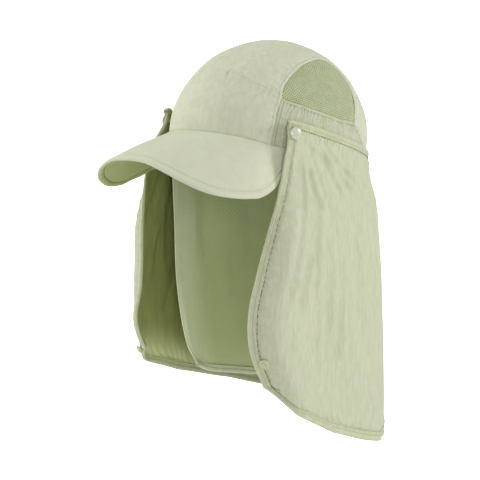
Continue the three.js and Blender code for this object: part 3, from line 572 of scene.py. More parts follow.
outward = crown_normal(panel)
lengths = across_lengths(panel)
from_seam = np.minimum(lengths, lengths[:, -1:] - lengths)
along_seam = np.interp(row, seam_steps, seam_run)
from_rim = np.minimum(run_lengths(panel), run_lengths(panel[::-1])[::-1])
puckers = np.sin(along_seam / 0.0062 * 2 * math.pi + 2.2 * cloth_noise(panel, 0.02, 3))
lift = -seam_groove * bump(from_seam, 0.0006) - seam_groove * bump(from_rim, 0.001)
lift += seam_roll * bump(from_seam - seam_stitch_inset / 2, 0.0013)
lift -= stitch_groove * bump(from_seam - seam_stitch_inset, 0.0006)
lift += seam_pucker * puckers * bump(from_seam - 0.004, 0.0045) + pulled_creases(panel)
dart_off, dart_run = np.full(panel.shape[:2], 1.0), np.zeros(panel.shape[:2])
for side in (1, -1):
    seam = seam_point(forehead_seam, np.linspace(0, len(forehead_seam["up"]) - 1, 25), side)
    off, run = line_distance(panel, seam)
    dart_off, dart_run = (np.where(off < dart_off, off - dart_stitch_inset, dart_off),
                          np.where(off < dart_off, run, dart_run))
    pull = np.sin(run / 0.0055 * 2 * math.pi + 2 * cloth_noise(panel, 0.012, 5))
    lift += -dart_groove * bump(off, 0.0007) + 0.00012 * bump(off - 0.002, 0.0013)
    lift += stitch_groove * pull * bump(off - 0.002, 0.004)
    off, run = line_distance(panel, seam_point(bar_tack, np.linspace(0, 1, 4), side))
    lift += -0.0006 * bump(off, 0.0009) + 0.0005 * bump(off - 0.0024, 0.0012)
lift += 0.0007 * cloth_noise(panel, 0.04, 1) + 0.00042 * cloth_noise(panel, (0.014, 0.014, 0.02), 2)
lift += 0.00014 * cloth_noise(panel, (0.005, 0.005, 0.008), 4)
crown_marks = {
    "outward": outward,
    "stitch_off": from_seam - seam_stitch_inset,
    "stitch_run": along_seam,
    "dart_off": dart_off,
    "dart_run": dart_run,
}
crown_cloth = cloth_from_grid("crown_cloth", panel + outward * lift[..., None], crown_marks, woven_wall, -1,
                              [crown_nylon, inner_nylon_painted_shade])
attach(crown_cloth, "root")
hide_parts("crown_panel")

# The side vents are half moons of fine eyelet knit, sewn in between the crown panel and the bands.
# The knit lies a little lower than the woven cloth and is a yellower green.
mesh_wall = 0.0014
vent_cells = 90
vent_sink = 0.0003
eyelet_pitch = 0.0023
vent_top_front_row = 5.5
vent_top_back_row = 9.5
vent_seam = table("along across up", [
    (0.5, 0.77, 0.48),
    (0.45, 0.815, 0.445),
    (0.32, 0.885, 0.39),
    (0.2, 0.935, 0.34),
    (0.07, 0.965, 0.295),
    (-0.07, 0.98, 0.245),
    (-0.2, 0.97, 0.22),
    (-0.32, 0.929, 0.192),
])
last_vent_row = 7

# Eyelet knit: small round holes in staggered rows between raised loops; Hole Shade is a mask of the holes,
# which are painted dark as painted shade
eyelets, given, result = node_group("eyelet knit", {"Cloth": vector, "Pitch": number}, ["Hole Shade", "Height"])
place = eyelets.add("ShaderNodeSeparateXYZ", i0=given["Cloth"]).outputs
across_cell = eyelets.over(place[0], given["Pitch"])
down_cell = eyelets.over(place[1], eyelets.times(given["Pitch"], 0.8))
shift = eyelets.times(eyelets.calc("PINGPONG", eyelets.calc("FLOOR", down_cell), 1.0), 0.5)
across_cell = eyelets.minus(eyelets.calc("FRACT", eyelets.plus(across_cell, shift)), 0.5)
down_cell = eyelets.minus(eyelets.calc("FRACT", down_cell), 0.5)
away = eyelets.calc("SQRT", eyelets.plus(eyelets.times(across_cell, across_cell),
                                         eyelets.times(down_cell, down_cell)))
eyelets.join(eyelets.ramp(away, 0.34, 0.16), result["Hole Shade"])
eyelets.join(eyelets.ramp(away, 0.2, 0.46), result["Height"])

vent_knit, nodes, shader = new_material("eyelet knit", 0.85, 0.2)
coordinates = nodes.add("ShaderNodeTexCoord").outputs
holes = use_group(nodes, "eyelet knit", Cloth=coordinates["UV"], Pitch=eyelet_pitch)
patches = use_group(nodes, "nylon crinkle", Place=coordinates["Object"], Size=0.006, Length=0.006)
thread_tone = nodes.blend(nodes.ramp(patches["Streaks"], 0.3, 0.7), srgb(188, 197, 150), srgb(202, 209, 168))
# painted shade: the holes are opaque and painted a dark green for the shade seen through them
nodes.join(nodes.blend(nodes.times(holes["Hole Shade"], 0.85), thread_tone, srgb(120, 132, 80)),
           shader["Base Color"])
relief(nodes, shader, holes["Height"], 0.0008)


def seam_stretch(rows, first, last, side):
    """Seam between two of its rows, as a function of the share from one to the other."""
    return lambda share: seam_point(rows, first + (last - first) * share, side)


def crown_patch(bottom, top, left, right, across, along):
    """Patch of the crown between four seams, each given as a function of its share."""
    v, u = np.meshgrid(along, across, indexing="ij")
    ends = [bottom(np.array(0.0)), bottom(np.array(1.0)), top(np.array(0.0)), top(np.array(1.0))]
    weights = [(1 - u) * (1 - v), u * (1 - v), (1 - u) * v, u * v]
    patch = mixed(bottom(u), top(u), v) + mixed(left(v), right(v), u)
    for end, weight in zip(ends, weights):
        patch = patch - end * weight[..., None]
    return on_crown(patch)


def border_distance(points):
    across_run = across_lengths(points)
    down_run = run_lengths(points)
    return np.minimum(np.minimum(across_run, across_run[:, -1:] - across_run),
                      np.minimum(down_run, down_run[-1:] - down_run))


for side, suffix in ((1, "left"), (-1, "right")):
    vent = crown_patch(
        seam_stretch(vent_seam, 0, last_vent_row, side),
        seam_stretch(side_seam, vent_top_front_row, vent_top_back_row, side),
        seam_stretch(side_seam, vent_front_row, vent_top_front_row, side),
        seam_stretch(side_seam, vent_back_row, vent_top_back_row, side),
        crowded(vent_cells, 0.4),
        crowded(vent_cells, 0.4),
    )
    outward = crown_normal(vent)
    border = border_distance(vent)
    lift = -vent_sink - 0.0004 * bump(border, 0.0009) + 0.0003 * cloth_noise(vent, 0.016, 8)
    net = cloth_from_grid(f"vent_net_{suffix}", vent + outward * lift[..., None], {"outward": outward},
                          mesh_wall, -1, [vent_knit])
    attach(net, "root")
    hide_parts(f"vent_{suffix}")

# Each band is a strip of the crown's nylon under the vent, drawn up in small upright gathers
# where it is sewn to the knit and to the neck flap's seam.
band_columns = 220
band_rows = 46
gather_depth = 0.001
gather_pitch = 0.0034
band_stitch_inset = 0.003
band_rim = table("along across up", [
    (0.66, 0.79, 0.01),
    (0.4, 0.92, -0.05),
    (0.1, 0.995, -0.1),
    (-0.25, 0.96, -0.19),
    (-0.6, 0.8, -0.27),
])
last_rim_row = 4
# painted shade: the band's nylon is coloured a shade deeper than the crown's, standing in for the shade of
# its gathers
gathered_nylon_painted_shade = woven_nylon("gathered nylon, painted a shade deeper", srgb(203, 206, 180), srgb(189, 193, 161),
                         seams=[("stitch_off", "stitch_run", stitch_pitch, thread_width)],
                         puckers=[("stitch_off", "stitch_run", gather_pitch, 0.005, 0.0004, 0.4)])
for side, suffix in ((1, "left"), (-1, "right")):
    band = crown_patch(
        seam_stretch(band_rim, 0, last_rim_row, side),
        seam_stretch(vent_seam, 0, last_vent_row, side),
        seam_stretch(side_seam, 0, vent_front_row, side),
        seam_stretch(side_seam, last_seam_row, vent_back_row, side),
        crowded(band_columns, 0.1),
        crowded(band_rows, 0.4),
    )
    outward = crown_normal(band)
    across_run = across_lengths(band)
    down_run = run_lengths(band)
    from_top, from_front = down_run[-1:] - down_run, across_run
    sway = cloth_noise(band, (0.012, 0.012, 0.03), 11)
    ripples = np.sin((across_run / gather_pitch + 1.3 * sway) * 2 * math.pi)
    ripples = ripples * (0.55 + 0.45 * cloth_noise(band, 0.02, 12))
    fade = 0.35 + 0.65 * bump(from_top - 0.004, 0.009)
    fade = fade * smooth_step(0.0, 0.012, from_front) * smooth_step(0.0, 0.003, border_distance(band))
    lift = gather_depth * (ripples * fade - 0.5 * fade) - 0.0006 * bump(border_distance(band), 0.0008)
    lift = lift + 0.0002 * bump(from_top - 0.0016, 0.0012)
    lift = lift + 0.0004 * cloth_noise(band, 0.016, 13) + pulled_creases(band)
    marks = {
        "outward": outward,
        "stitch_off": np.minimum(from_top, from_front) - band_stitch_inset,
        "stitch_run": across_run,
    }
    gathered = cloth_from_grid(f"gathered_band_{suffix}", band + outward * lift[..., None], marks,
                               woven_wall, -1, [gathered_nylon_painted_shade, inner_nylon_painted_shade])
    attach(gathered, "root")
    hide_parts(f"band_{suffix}")

# The peak is a stiff sheet covered in smooth nylon, arched from temple to temple.
# The cover is turned round the edge and held by a row of stitches inside it, above and below.
bill_reach = 0.072
bill_side_flare = 0.0045
bill_drop = 0.041
bill_thickness = 0.003
root_tuck = 0.0007
bill_crown = 0.0025
bill_columns = 420
bill_stitch_pitch = 0.0034
stitch_inset = 0.0078
under_stitch_inset = 0.0062
bill_half_width = half_width + bill_side_flare
bill_edge = table("along reach across drop right_out right_lift", [
    (1, 1, 0, 0.22, 0, 0),
    (1, 0.995, 0.17, 0.245, 0, 0.01),
    (1, 0.975, 0.34, 0.345, 0.011, 0.049),
    (1, 0.875, 0.56, 0.57, 0.025, 0.083),
    (1, 0.745, 0.74, 0.77, 0.011, 0.063),
    (1, 0.6, 0.87, 0.885, -0.027, 0.02),
    (1, 0.36, 0.965, 0.965, -0.007, -0.039),
    (1, 0.1, 1, 1, 0.014, -0.024),
    (0.97, 0, 0.98, 0.985, 0.009, 0.044),
    (0.88, 0, 0.935, 0.965, 0, 0.117),
    (0.78, 0, 0.885, 0.925, 0, 0.207),
    (0.68, 0, 0.855, 0.83, 0, 0.183),
    (0.58, 0, 0.86, 0.57, 0, 0.085),
    (0.485, 0, 0.885, 0.3, 0, 0),
])
last_edge_row = 13


def grid_normals(points):
    """Unit normals of a grid of points with rows along its first axis."""
    down, across = np.gradient(points, axis=0), np.gradient(points, axis=1)
    return unit(np.cross(across, down))


def bill_root(share):
    """Front rim from the centre to the temple, and on along the band's rim."""
    turn = 0.8
    across = np.abs(share)
    points = np.where(
        (across <= turn)[..., None],
        rim_point(True, np.minimum(across / turn, 1)),
        seam_point(band_rim, np.maximum(across - turn, 0) / (1 - turn), 1),
    )
    return (points - level_normal(points) * root_tuck) * vectors(np.where(share < 0, -1, 1), 1, 1)


def bill_middle(share, out):
    """Middle of the peak: out is 0 at the crown and 1 at the edge."""
    row = np.abs(share) * last_edge_row
    across = table_value(bill_edge, "across", row) + (share < 0) * table_value(bill_edge, "right_out", row)
    drop = table_value(bill_edge, "drop", row) - (share < 0) * table_value(bill_edge, "right_lift", row)
    edge = vectors(
        np.sign(share) * across * bill_half_width,
        -table_value(bill_edge, "along", row) * half_length
        - table_value(bill_edge, "reach", row) * bill_reach,
        -drop * bill_drop,
    )
    points = mixed(bill_root(share), edge, out)
    points[..., 2] += bill_crown * np.sin(math.pi * out) * (1 - share ** 2)
    return points


share = np.linspace(-1, 1, bill_columns)
reach = np.linalg.norm(bill_middle(share, np.ones_like(share))
                       - bill_middle(share, np.zeros_like(share)), axis=-1)
fine_steps = np.concatenate([np.linspace(0, 0.0105, 22), np.linspace(0.012, 0.016, 4)])
coarse_steps = np.linspace(0, 1, 26)[1:]
inset = np.minimum(fine_steps[:, None], 0.62 * reach[None] * fine_steps[:, None] / fine_steps[-1])
inset = np.concatenate([inset, inset[-1:] + (reach[None] - inset[-1:]) * coarse_steps[:, None]])
out = 1 - inset / reach
shares = np.broadcast_to(share, out.shape)
middle = bill_middle(shares, out)
normal = grid_normals(middle)
normal *= np.sign(normal[..., 2:].mean())
along_edge = np.broadcast_to(run_lengths(middle[0]), out.shape)
flat_zone = smooth_step(0.012, 0.03, reach)[None]
puffs = 0.5 + 0.5 * np.cos(along_edge / bill_stitch_pitch * 2 * math.pi)
rounding = np.sqrt(np.clip(1 - (1 - np.clip(inset / (0.85 * bill_thickness), 0, 1)) ** 2, 0, 1))
half = bill_thickness / 2 * rounding
groove = -0.00075 * bump(inset - stitch_inset, 0.0007) * (0.55 + 0.45 * (1 - puffs))
border = 0.00055 * bump(inset - 0.5 * stitch_inset, 0.0024)
border = border + 0.00025 * puffs * bump(inset - stitch_inset - 0.0012, 0.0009)
waves = 0.0005 * cloth_noise(middle, 0.045, 21) + 0.00018 * cloth_noise(middle, 0.014, 22)
waves = waves * smooth_step(0, 0.01, inset) * smooth_step(0, 0.01, inset[-1:] - inset)
top_lift = half + (groove + border) * flat_zone + waves
under_groove = -0.0006 * bump(inset - under_stitch_inset, 0.0008)
under_roll = 0.0006 * bump(inset - 0.5 * under_stitch_inset, 0.0018)
under_lift = half + (under_groove + under_roll) * flat_zone
top = middle + normal * top_lift[..., None]
under = middle - normal * under_lift[..., None]


# A closed sleeve of cloth: root above, out over the top, round the edge and back below
def wrapped(above, below):
    return np.concatenate([above[::-1], below[1:], above[-1:]])


sleeve = wrapped(top, under)
shell, row, column = grid_shell(sleeve)
sleeve_run = wrapped(along_edge, along_edge)
bill_marks = {
    "edge_inset": np.where(flat_zone > 0.02, wrapped(inset, inset), 0.03),
    "edge_run": sleeve_run,
    "below": wrapped(np.zeros_like(out), np.ones_like(out)),
}
edge_flow = run_lengths(sleeve)
layers = {label: shell.verts.layers.float.new(label) for label in bill_marks}
cloth_map = shell.loops.layers.uv.new("cloth")
for vert, i, j in zip(shell.verts, row, column):
    for label, layer in layers.items():
        vert[layer] = float(bill_marks[label][i, j])
shell.verts.index_update()
for face in shell.faces:
    for loop in face.loops:
        i, j = row[loop.vert.index], column[loop.vert.index]
        loop[cloth_map].uv = (float(sleeve_run[i, j]), float(edge_flow[i, j]))
bmesh.ops.remove_doubles(shell, verts=shell.verts, dist=1e-6)
bmesh.ops.holes_fill(shell, edges=[edge for edge in shell.edges if edge.is_boundary], sides=0)
bmesh.ops.triangulate(shell, faces=[face for face in shell.faces if len(face.verts) > 4])
bmesh.ops.recalc_face_normals(shell, faces=shell.faces)

bill_nylon, nodes, shader = new_material("smooth nylon of the peak", 0.8, 0.08)
coordinates = nodes.add("ShaderNodeTexCoord").outputs
weaves = use_group(nodes, "plain weave", Cloth=coordinates["UV"], Pitch=weave_pitch)
creases = use_group(nodes, "nylon crinkle", Place=coordinates["Object"], Size=0.012, Length=0.008)
edge_inset, below = mark(nodes, "edge_inset"), mark(nodes, "below")
under = nodes.ramp(below, 0.3, 0.7)
above_rows = use_group(nodes, "stitch row", Off=nodes.minus(edge_inset, stitch_inset),
                       Run=mark(nodes, "edge_run"), Pitch=bill_stitch_pitch, Width=0.0006)
under_rows = use_group(nodes, "stitch row", Off=nodes.minus(edge_inset, under_stitch_inset),
                       Run=mark(nodes, "edge_run"), Pitch=bill_stitch_pitch, Width=0.00035)
top_tone = nodes.blend(nodes.ramp(creases["Streaks"], 0.3, 0.7), srgb(207, 210, 184), srgb(212, 214, 190))
# painted shade: the stitch holes on top of the peak are darkened in the colour
top_tone = nodes.blend(nodes.times(above_rows["Hole Shade"], 0.6), top_tone, srgb(128, 134, 94))
rolled = nodes.ramp(edge_inset, 0.0016, 0.0002)
under_tone = nodes.blend(rolled, srgb(174, 183, 122), srgb(200, 205, 168))
# painted shade: the groove of the stitch row under the peak is darkened
under_tone = nodes.blend(nodes.times(under_rows["Dip"], 0.6), under_tone, srgb(92, 102, 52))
nodes.join(nodes.blend(under, top_tone, under_tone), shader["Base Color"])
height = nodes.plus(nodes.times(creases["Height"], 0.25), nodes.times(weaves["Height"], 0.1))
above_only = nodes.times(0.5, nodes.minus(1.0, under))
height = nodes.minus(height, nodes.times(above_rows["Dip"], above_only))
relief(nodes, shader, height, 0.0005)
peak = smooth_piece("peak", shell, [bill_nylon])
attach(peak, "root")
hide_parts("bill")

# The neck flap is a cape of crinkled nylon that hangs from temple to temple round the back.
# Its tension runs from the temple snaps down to the hem, and it puckers beside its binding.
flap_drop = 0.288
flap_side_flare = 0.016
flap_back_flare = 0.007
flap_corner_angle = math.radians(58.2)
flap_corner_height = 0.024
flap_top_slope = math.radians(17)
flap_stand_off = 0.007
front_curl = 0.022
front_curl_length = 0.020
tape_width = 0.0075
top_tape_width = 0.006
flap_wall = 0.0008
flap_seat = 0.0015
flap_corner_radius = 0.004
lower_corner_round = 0.006
upper_corner_lift = 0.004
upper_corner_spread = 0.0035
right_edge_curl = 0.0065
right_corner_flare = 0.003
flap_fine_columns = 100
flap_wide_columns = 17
flap_rows = 170
flap_half_width = half_width + flap_side_flare
flap_back_reach = half_length + flap_back_flare
flap_levels = table("level round side back", [
    (0, 2, 0.875, 0.91),
    (0.1, 2, 0.875, 0.92),
    (0.19, 2.05, 0.895, 0.925),
    (0.3, 2.15, 0.945, 0.935),
    (0.45, 2.25, 0.985, 0.95),
    (0.55, 2.3, 0.99, 0.96),
    (0.65, 2.3, 0.99, 0.975),
    (0.75, 2.3, 0.99, 0.985),
    (0.87, 2.3, 0.995, 0.995),
    (1, 2.3, 1, 1),
])
flap_fronts = table("level edge_left front_left edge_right front_right", [
    (0, 0.79, 0.54, 0.79, 0.54),
    (0.1, 0.79, 0.61, 0.815, 0.69),
    (0.19, 0.8, 0.69, 0.84, 0.83),
    (0.3, 0.785, 0.805, 0.77, 0.95),
    (0.45, 0.77, 0.955, 0.75, 0.985),
    (0.55, 0.745, 1.015, 0.77, 0.985),
    (0.65, 0.74, 0.985, 0.8, 0.945),
    (0.75, 0.765, 0.85, 0.83, 0.81),
    (0.87, 0.79, 0.7, 0.84, 0.66),
    (1, 0.81, 0.6, 0.86, 0.56),
])
hem_levels = table("around left right", [
    (0, 0.735, 0.69),
    (0.09, 0.825, 0.745),
    (0.24, 0.9, 0.795),
    (0.48, 0.965, 0.85),
    (0.66, 0.985, 0.89),
    (0.83, 0.985, 0.93),
    (1, 0.965, 0.965),
])
flap_folds = table("side top_around low_around top low width depth", [
    (1, 0.1, 0.42, 0.02, 0.75, 0.05, 0.0022),
    (1, 0.07, 0.2, 0.05, 0.95, 0.045, 0.002),
    (1, 0.3, 0.55, 0.1, 1, 0.06, 0.0018),
    (1, 0.62, 0.7, 0.05, 1, 0.06, 0.0024),
    (-1, 0.1, 0.3, 0.05, 0.9, 0.05, 0.002),
    (-1, 0.35, 0.45, 0.1, 1, 0.06, 0.002),
    (-1, 0.65, 0.66, 0.05, 1, 0.06, 0.0022),
])
hem_ripple_depth = 0.0016
hem_ripples = 9
tape_puff = 0.0008
front_pucker = 0.0005
hem_pucker = 0.0011
top_pucker = 0.0005
soft_fold = 0.0021
streak_depth = 0.00045
short_fold = 0.00026
crease_gain = 1.4

# Creases that the temple snap and the hem pull into each side, each a curve through three places
flap_creases = table("around_a down_a around_b down_b around_c down_c width height", [
    (0.2, 0.03, 0.39, 0.105, 0.75, 0.185, 0.0026, 0.00228),
    (0.065, 0.05, 0.24, 0.09, 0.535, 0.185, 0.0045, 0.00266),
    (0.17, 0.04, 0.285, 0.13, 0.4, 0.21, 0.0035, 0.00228),
    (0.13, 0.11, 0.185, 0.205, 0.29, 0.28, 0.004, 0.00247),
    (0.08, 0.09, 0.145, 0.355, 0.13, 0.67, 0.0042, 0.00323),
    (0.195, 0.18, 0.255, 0.41, 0.26, 0.605, 0.005, 0.00266),
    (0.3, 0.305, 0.34, 0.525, 0.315, 0.7, 0.005, 0.00266),
    (0.395, 0.485, 0.38, 0.635, 0.34, 0.745, 0.0045, 0.00247),
    (0.295, 0.565, 0.275, 0.67, 0.235, 0.765, 0.004, 0.00228),
    (0.205, 0.385, 0.19, 0.535, 0.175, 0.64, 0.0045, -0.00342),
    (0.315, 0.09, 0.425, 0.145, 0.56, 0.21, 0.003, -0.00266),
    (0.1, 0.06, 0.2, 0.17, 0.27, 0.25, 0.003, -0.00171),
    (0.46, 0.25, 0.5, 0.5, 0.52, 0.8, 0.007, 0.00304),
    (0.6, 0.2, 0.62, 0.55, 0.6, 0.95, 0.007, 0.00304),
])


def facing_out(normal, points):
    """Normals turned to the side that faces away from the upright axis."""
    return normal * np.sign((normal * points * np.array([1, 1, 0])).sum(-1, keepdims=True))


def table_row(values, wanted):
    return np.interp(wanted, values, np.arange(len(values)))


def flap_plan(side, level):
    """Plans of one side of the flap at many levels, from the front edge to the back centre."""
    row, front_row = table_row(flap_levels["level"], level), table_row(flap_fronts["level"], level)
    suffix = "left" if side > 0 else "right"
    wide = (table_value(flap_levels, "side", row) * flap_half_width)[:, None]
    back = (table_value(flap_levels, "back", row) * flap_back_reach)[:, None]
    power = 2 / table_value(flap_levels, "round", row)[:, None]
    edge = (table_value(flap_fronts, "edge_" + suffix, front_row) * flap_half_width)[:, None]
    front = (table_value(flap_fronts, "front_" + suffix, front_row) * half_length)[:, None]
    curl = front_curl * smooth_step(0.1, 0.4, level)[:, None]
    forward = front * (1 - np.linspace(0, 1, 31))[None]
    into = np.maximum(0, forward - front + front_curl_length) / front_curl_length
    lean = (wide - edge - curl) * (forward / front) ** 2
    angle = np.linspace(0, math.pi / 2, 41)[None, 1:]
    x = np.concatenate([wide - lean - curl * into ** 2, wide * np.maximum(0, np.cos(angle)) ** power], 1)
    y = np.concatenate([-forward, back * np.sin(angle) ** power], 1)
    return vectors(x, y)


def along_runs(runs, share):
    """Point at its own share of the length of each run of points."""
    steps = np.linalg.norm(np.diff(runs, axis=1), axis=-1)
    lengths = np.concatenate([np.zeros((len(runs), 1)), np.cumsum(steps, 1)], 1)
    wanted = share * lengths[:, -1]
    index = np.clip((lengths < wanted[:, None]).sum(1), 1, runs.shape[1] - 1)
    pick = np.arange(len(runs))
    part = (wanted - lengths[pick, index - 1]) / (lengths[pick, index] - lengths[pick, index - 1])
    return mixed(runs[pick, index - 1], runs[pick, index], part)


def flap_top_run():
    """Top edge of the flap round one side of the crown, from the temple to the back."""
    share = np.linspace(0, 1, 41)
    angle = flap_corner_angle + (math.pi - flap_corner_angle) * share
    corner_forward = math.cos(flap_corner_angle) * half_length
    ahead = np.cos(angle) * half_length
    height = flap_corner_height - (corner_forward - ahead) * math.tan(flap_top_slope)
    stand = flap_seat + flap_stand_off * (1 - smooth_step(0, 0.22, share))
    return crown_at_height(np.sin(angle) * half_width, -ahead, height, stand)


top_run = flap_top_run()
side_length = float(np.linalg.norm(np.diff(flap_plan(1, np.array([0.5]))[0], axis=0), axis=-1).sum())


def fold_height(side, around, down):
    push = np.zeros_like(around)
    for fold in each_row(flap_folds):
        if fold["side"] == side:
            run = (down - fold["top"]) / (fold["low"] - fold["top"])
            centre = fold["top_around"] + (fold["low_around"] - fold["top_around"]) * run
            fade = smooth_step(fold["top"], fold["top"] + 0.15, down)
            fade = fade * (1 - smooth_step(fold["low"] - 0.2, fold["low"] + 0.1, down))
            push += fold["depth"] * bump(around - centre, fold["width"]) * fade
    ripple = np.sin(around * hem_ripples * math.pi) * np.sin(around * math.pi)
    return push + hem_ripple_depth * ripple * smooth_step(0.75, 1, down)


def crease_lift(around, down):
    """Lift of the creases at places of one side."""
    cloth_length = flap_drop * 0.92
    places = np.stack([around * side_length, down * cloth_length], -1)
    lift = np.zeros(around.shape)
    calm = 1 - 0.7 * smooth_step(0.46, 0.58, around)
    for crease in each_row(flap_creases):
        a, b, c = (np.array([crease["around_" + spot] * side_length, crease["down_" + spot] * cloth_length])
                   for spot in "abc")
        share = np.linspace(0, 1, 17)[:, None]
        control = 2 * b - (a + c) / 2
        line = a * (1 - share) ** 2 + 2 * control * share * (1 - share) + c * share ** 2
        off, run = line_distance(places, line)
        part = run / run_lengths(line)[-1]
        fade = smooth_step(0, 0.2, part) * (1 - smooth_step(0.7, 1, part))
        ridge = bump(off, crease["width"]) - 0.45 * bump(off, 2.4 * crease["width"])
        lift += crease["height"] * ridge * fade * calm
    return lift


def flap_height(side, around):
    """Heights of the flap's top edge and of its hem at places round one side."""
    top = along_runs(np.broadcast_to(top_run, (len(around), 41, 3)), around)
    short_of_round = np.clip(flap_corner_radius - around * side_length, 0, flap_corner_radius)
    top[:, 2] -= flap_corner_radius - np.sqrt(flap_corner_radius ** 2 - short_of_round ** 2)
    hem_row = table_row(hem_levels["around"], around)
    return top, -flap_drop * table_value(hem_levels, "left" if side > 0 else "right", hem_row)


def flap_side(side, around, down):
    """Middle of the flap's cloth on one side, for flat lists of places."""
    top, hem = flap_height(side, around)
    z = top[:, 2] + (hem - top[:, 2]) * down
    level = np.clip((flap_corner_height - z) / (flap_corner_height + flap_drop), 0, 1)
    plan = along_runs(flap_plan(side, level), around)
    hanging = smooth_step(0, 0.14, down)
    flat = mixed(top[:, :2], plan, hanging)
    if side < 0:
        near_front = bump(around, 0.07)
        flat[:, 1] += lower_corner_round * near_front * smooth_step(0.84, 1, down)
        z = z + upper_corner_lift * near_front * (1 - smooth_step(0, 0.3, down))
        flat[:, 0] += upper_corner_spread * near_front * (1 - smooth_step(0.05, 0.25, down))
        flat[:, 0] += right_corner_flare * near_front * smooth_step(0.84, 0.97, down)
        curled = smooth_step(0.12, 0.35, down) * (1 - smooth_step(0.7, 0.86, down))
        flat[:, 0] -= right_edge_curl * bump(around, 0.05) * curled
    outward = unit(flat / np.array([half_width, half_length]))
    flat = flat + outward * fold_height(side, around, down)[:, None]
    return vectors(side * flat[:, 0], flat[:, 1], z)


def flap_surface(turn, down):
    """Flap for turns from -1 at the wearer's left front edge to 1 at the right one."""
    shape = np.broadcast(turn, down).shape
    turns, downs = (np.broadcast_to(values, shape).ravel() for values in (turn, down))
    points = np.empty((len(turns), 3))
    for side, chosen in ((1, turns <= 0), (-1, turns > 0)):
        if chosen.any():
            points[chosen] = flap_side(side, 1 - np.abs(turns[chosen]), downs[chosen])
    return points.reshape(*shape, 3)


# Columns of the cloth: closest under the tapes, close over the creased sides and wide round the back
edge_run = np.concatenate([np.linspace(0, 0.0065, 6), np.linspace(0.0075, 0.03, 21),
                           np.linspace(0.0316, 0.205, flap_fine_columns),
                           np.linspace(0.209, side_length, flap_wide_columns)])
flap_turns = np.concatenate([-1 + edge_run / side_length, (1 - edge_run / side_length)[-2::-1]])
flap_downs = np.concatenate([np.linspace(0, 0.05, 15), np.linspace(0.054, 0.9, flap_rows - 41),
                             np.linspace(0.904, 1, 26)])
turn, down = np.meshgrid(flap_turns, flap_downs)
flap = flap_surface(turn, down)
normal = facing_out(grid_normals(flap), flap)
side = np.where(turn <= 0, 1, -1)
from_front = (1 - np.abs(turn)) * side_length
down_run = run_lengths(flap)
from_hem = down_run[-1:] - down_run
from_tape = np.minimum(np.minimum(from_front, from_hem) - tape_width, down_run - top_tape_width)
clear_of_tape = smooth_step(0.0, 0.004, from_tape)
around_run = np.broadcast_to(run_lengths(flap[-1])[None], turn.shape)
front_puckers = np.sin((down_run / 0.011 + 0.9 * cloth_noise(flap, 0.02, 31)) * 2 * math.pi)
front_puckers *= bump(from_front - tape_width - 0.004, 0.009) * (0.5 + 0.6 * cloth_noise(flap, 0.03, 32))
hem_puckers = np.sin((around_run / 0.0085 + 0.9 * cloth_noise(flap, 0.03, 33)) * 2 * math.pi)
hem_puckers *= bump(from_hem - tape_width - 0.003, 0.009) * (0.5 + 0.5 * cloth_noise(flap, 0.035, 34))
top_puckers = np.sin((around_run / 0.011 + 0.8 * cloth_noise(flap, 0.03, 35)) * 2 * math.pi)
top_puckers *= bump(down_run - top_tape_width - 0.006, 0.01) * (0.5 + 0.5 * cloth_noise(flap, 0.03, 36))
streaks = cloth_noise(flap, (0.01, 0.01, 0.05), 37)
soft = cloth_noise(flap, (0.034, 0.034, 0.12), 38)
short = cloth_noise(flap, (0.007, 0.007, 0.016), 39)
creases = crease_lift(1 - np.abs(turn), down)
lift = tape_puff * bump(from_tape - 0.003, 0.006) + crease_gain * creases
lift += front_pucker * front_puckers + hem_pucker * hem_puckers + top_pucker * top_puckers
lift += streak_depth * streaks + soft_fold * soft + short_fold * short
lift *= clear_of_tape
flap_marks = {
    "outward": normal,
    "from_hem": from_hem,
    "tape_gap": from_tape,
    "pucker_run": np.where(from_front < np.minimum(from_hem, down_run), down_run, around_run),
}
flap_nylon = woven_nylon("crinkled nylon of the flap", srgb(204, 207, 179), srgb(194, 198, 167),
                         0.0028, 0.014, 0.0005,
                         puckers=[("tape_gap", "pucker_run", 0.0052, 0.013, 0.0006, 1.0)])
# painted shade: the flap's inner face is a dark olive that stands in for the shade inside it, painted paler
# towards the hem as painted light
flap_inside_painted_shade = woven_nylon("inside of the flap, painted olive shade", srgb(154, 161, 97), srgb(144, 151, 86),
                          0.0036, 0.025, 0.0005,
                          painted_light_ramp=("from_hem", 0.05, 0.006, srgb(200, 204, 150)))
flap_cloth = cloth_from_grid("flap_cloth", flap + normal * lift[..., None], flap_marks, flap_wall, 0,
                             [flap_nylon, flap_inside_painted_shade])
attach(flap_cloth, "root")
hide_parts("neck_flap")

# A folded tape binds the flap: one length runs down a front edge, along the hem and up the other,
# and another binds the top edge. Each is pressed into a fold and stitched through near its inner edge.
tape_thickness = 0.001
tape_cloth = 0.0005
tape_clearance = 0.0001
tape_weave_pitch = 0.0006
tape_stitch_pitch = 0.0028
tape_stitch_reach = 0.81
tape_fold_reach = 0.55
front_edge_length = 0.245
flap_length = 0.27
tape_profile = table("reach rise", [
    (1.0, 0.3),
    (0.985, 0.85),
    (0.93, 1.05),
    (0.86, 0.95),
    (0.8, 0.75),
    (0.74, 0.9),
    (0.66, 1.0),
    (0.59, 0.95),
    (0.55, 0.65),
    (0.52, 1.15),
    (0.44, 1.4),
    (0.25, 1.5),
    (0.1, 1.45),
    (0.02, 1.3),
    (-0.06, 0.95),
    (-0.12, 0.5),
    (-0.14, 0.0),
])
whole_profile = {label: np.concatenate([values, values[-2::-1]]) for label, values in tape_profile.items()}
half_profile = len(tape_profile["rise"]) - 1
whole_profile["face"] = np.concatenate([np.ones(half_profile), [0], -np.ones(half_profile)])


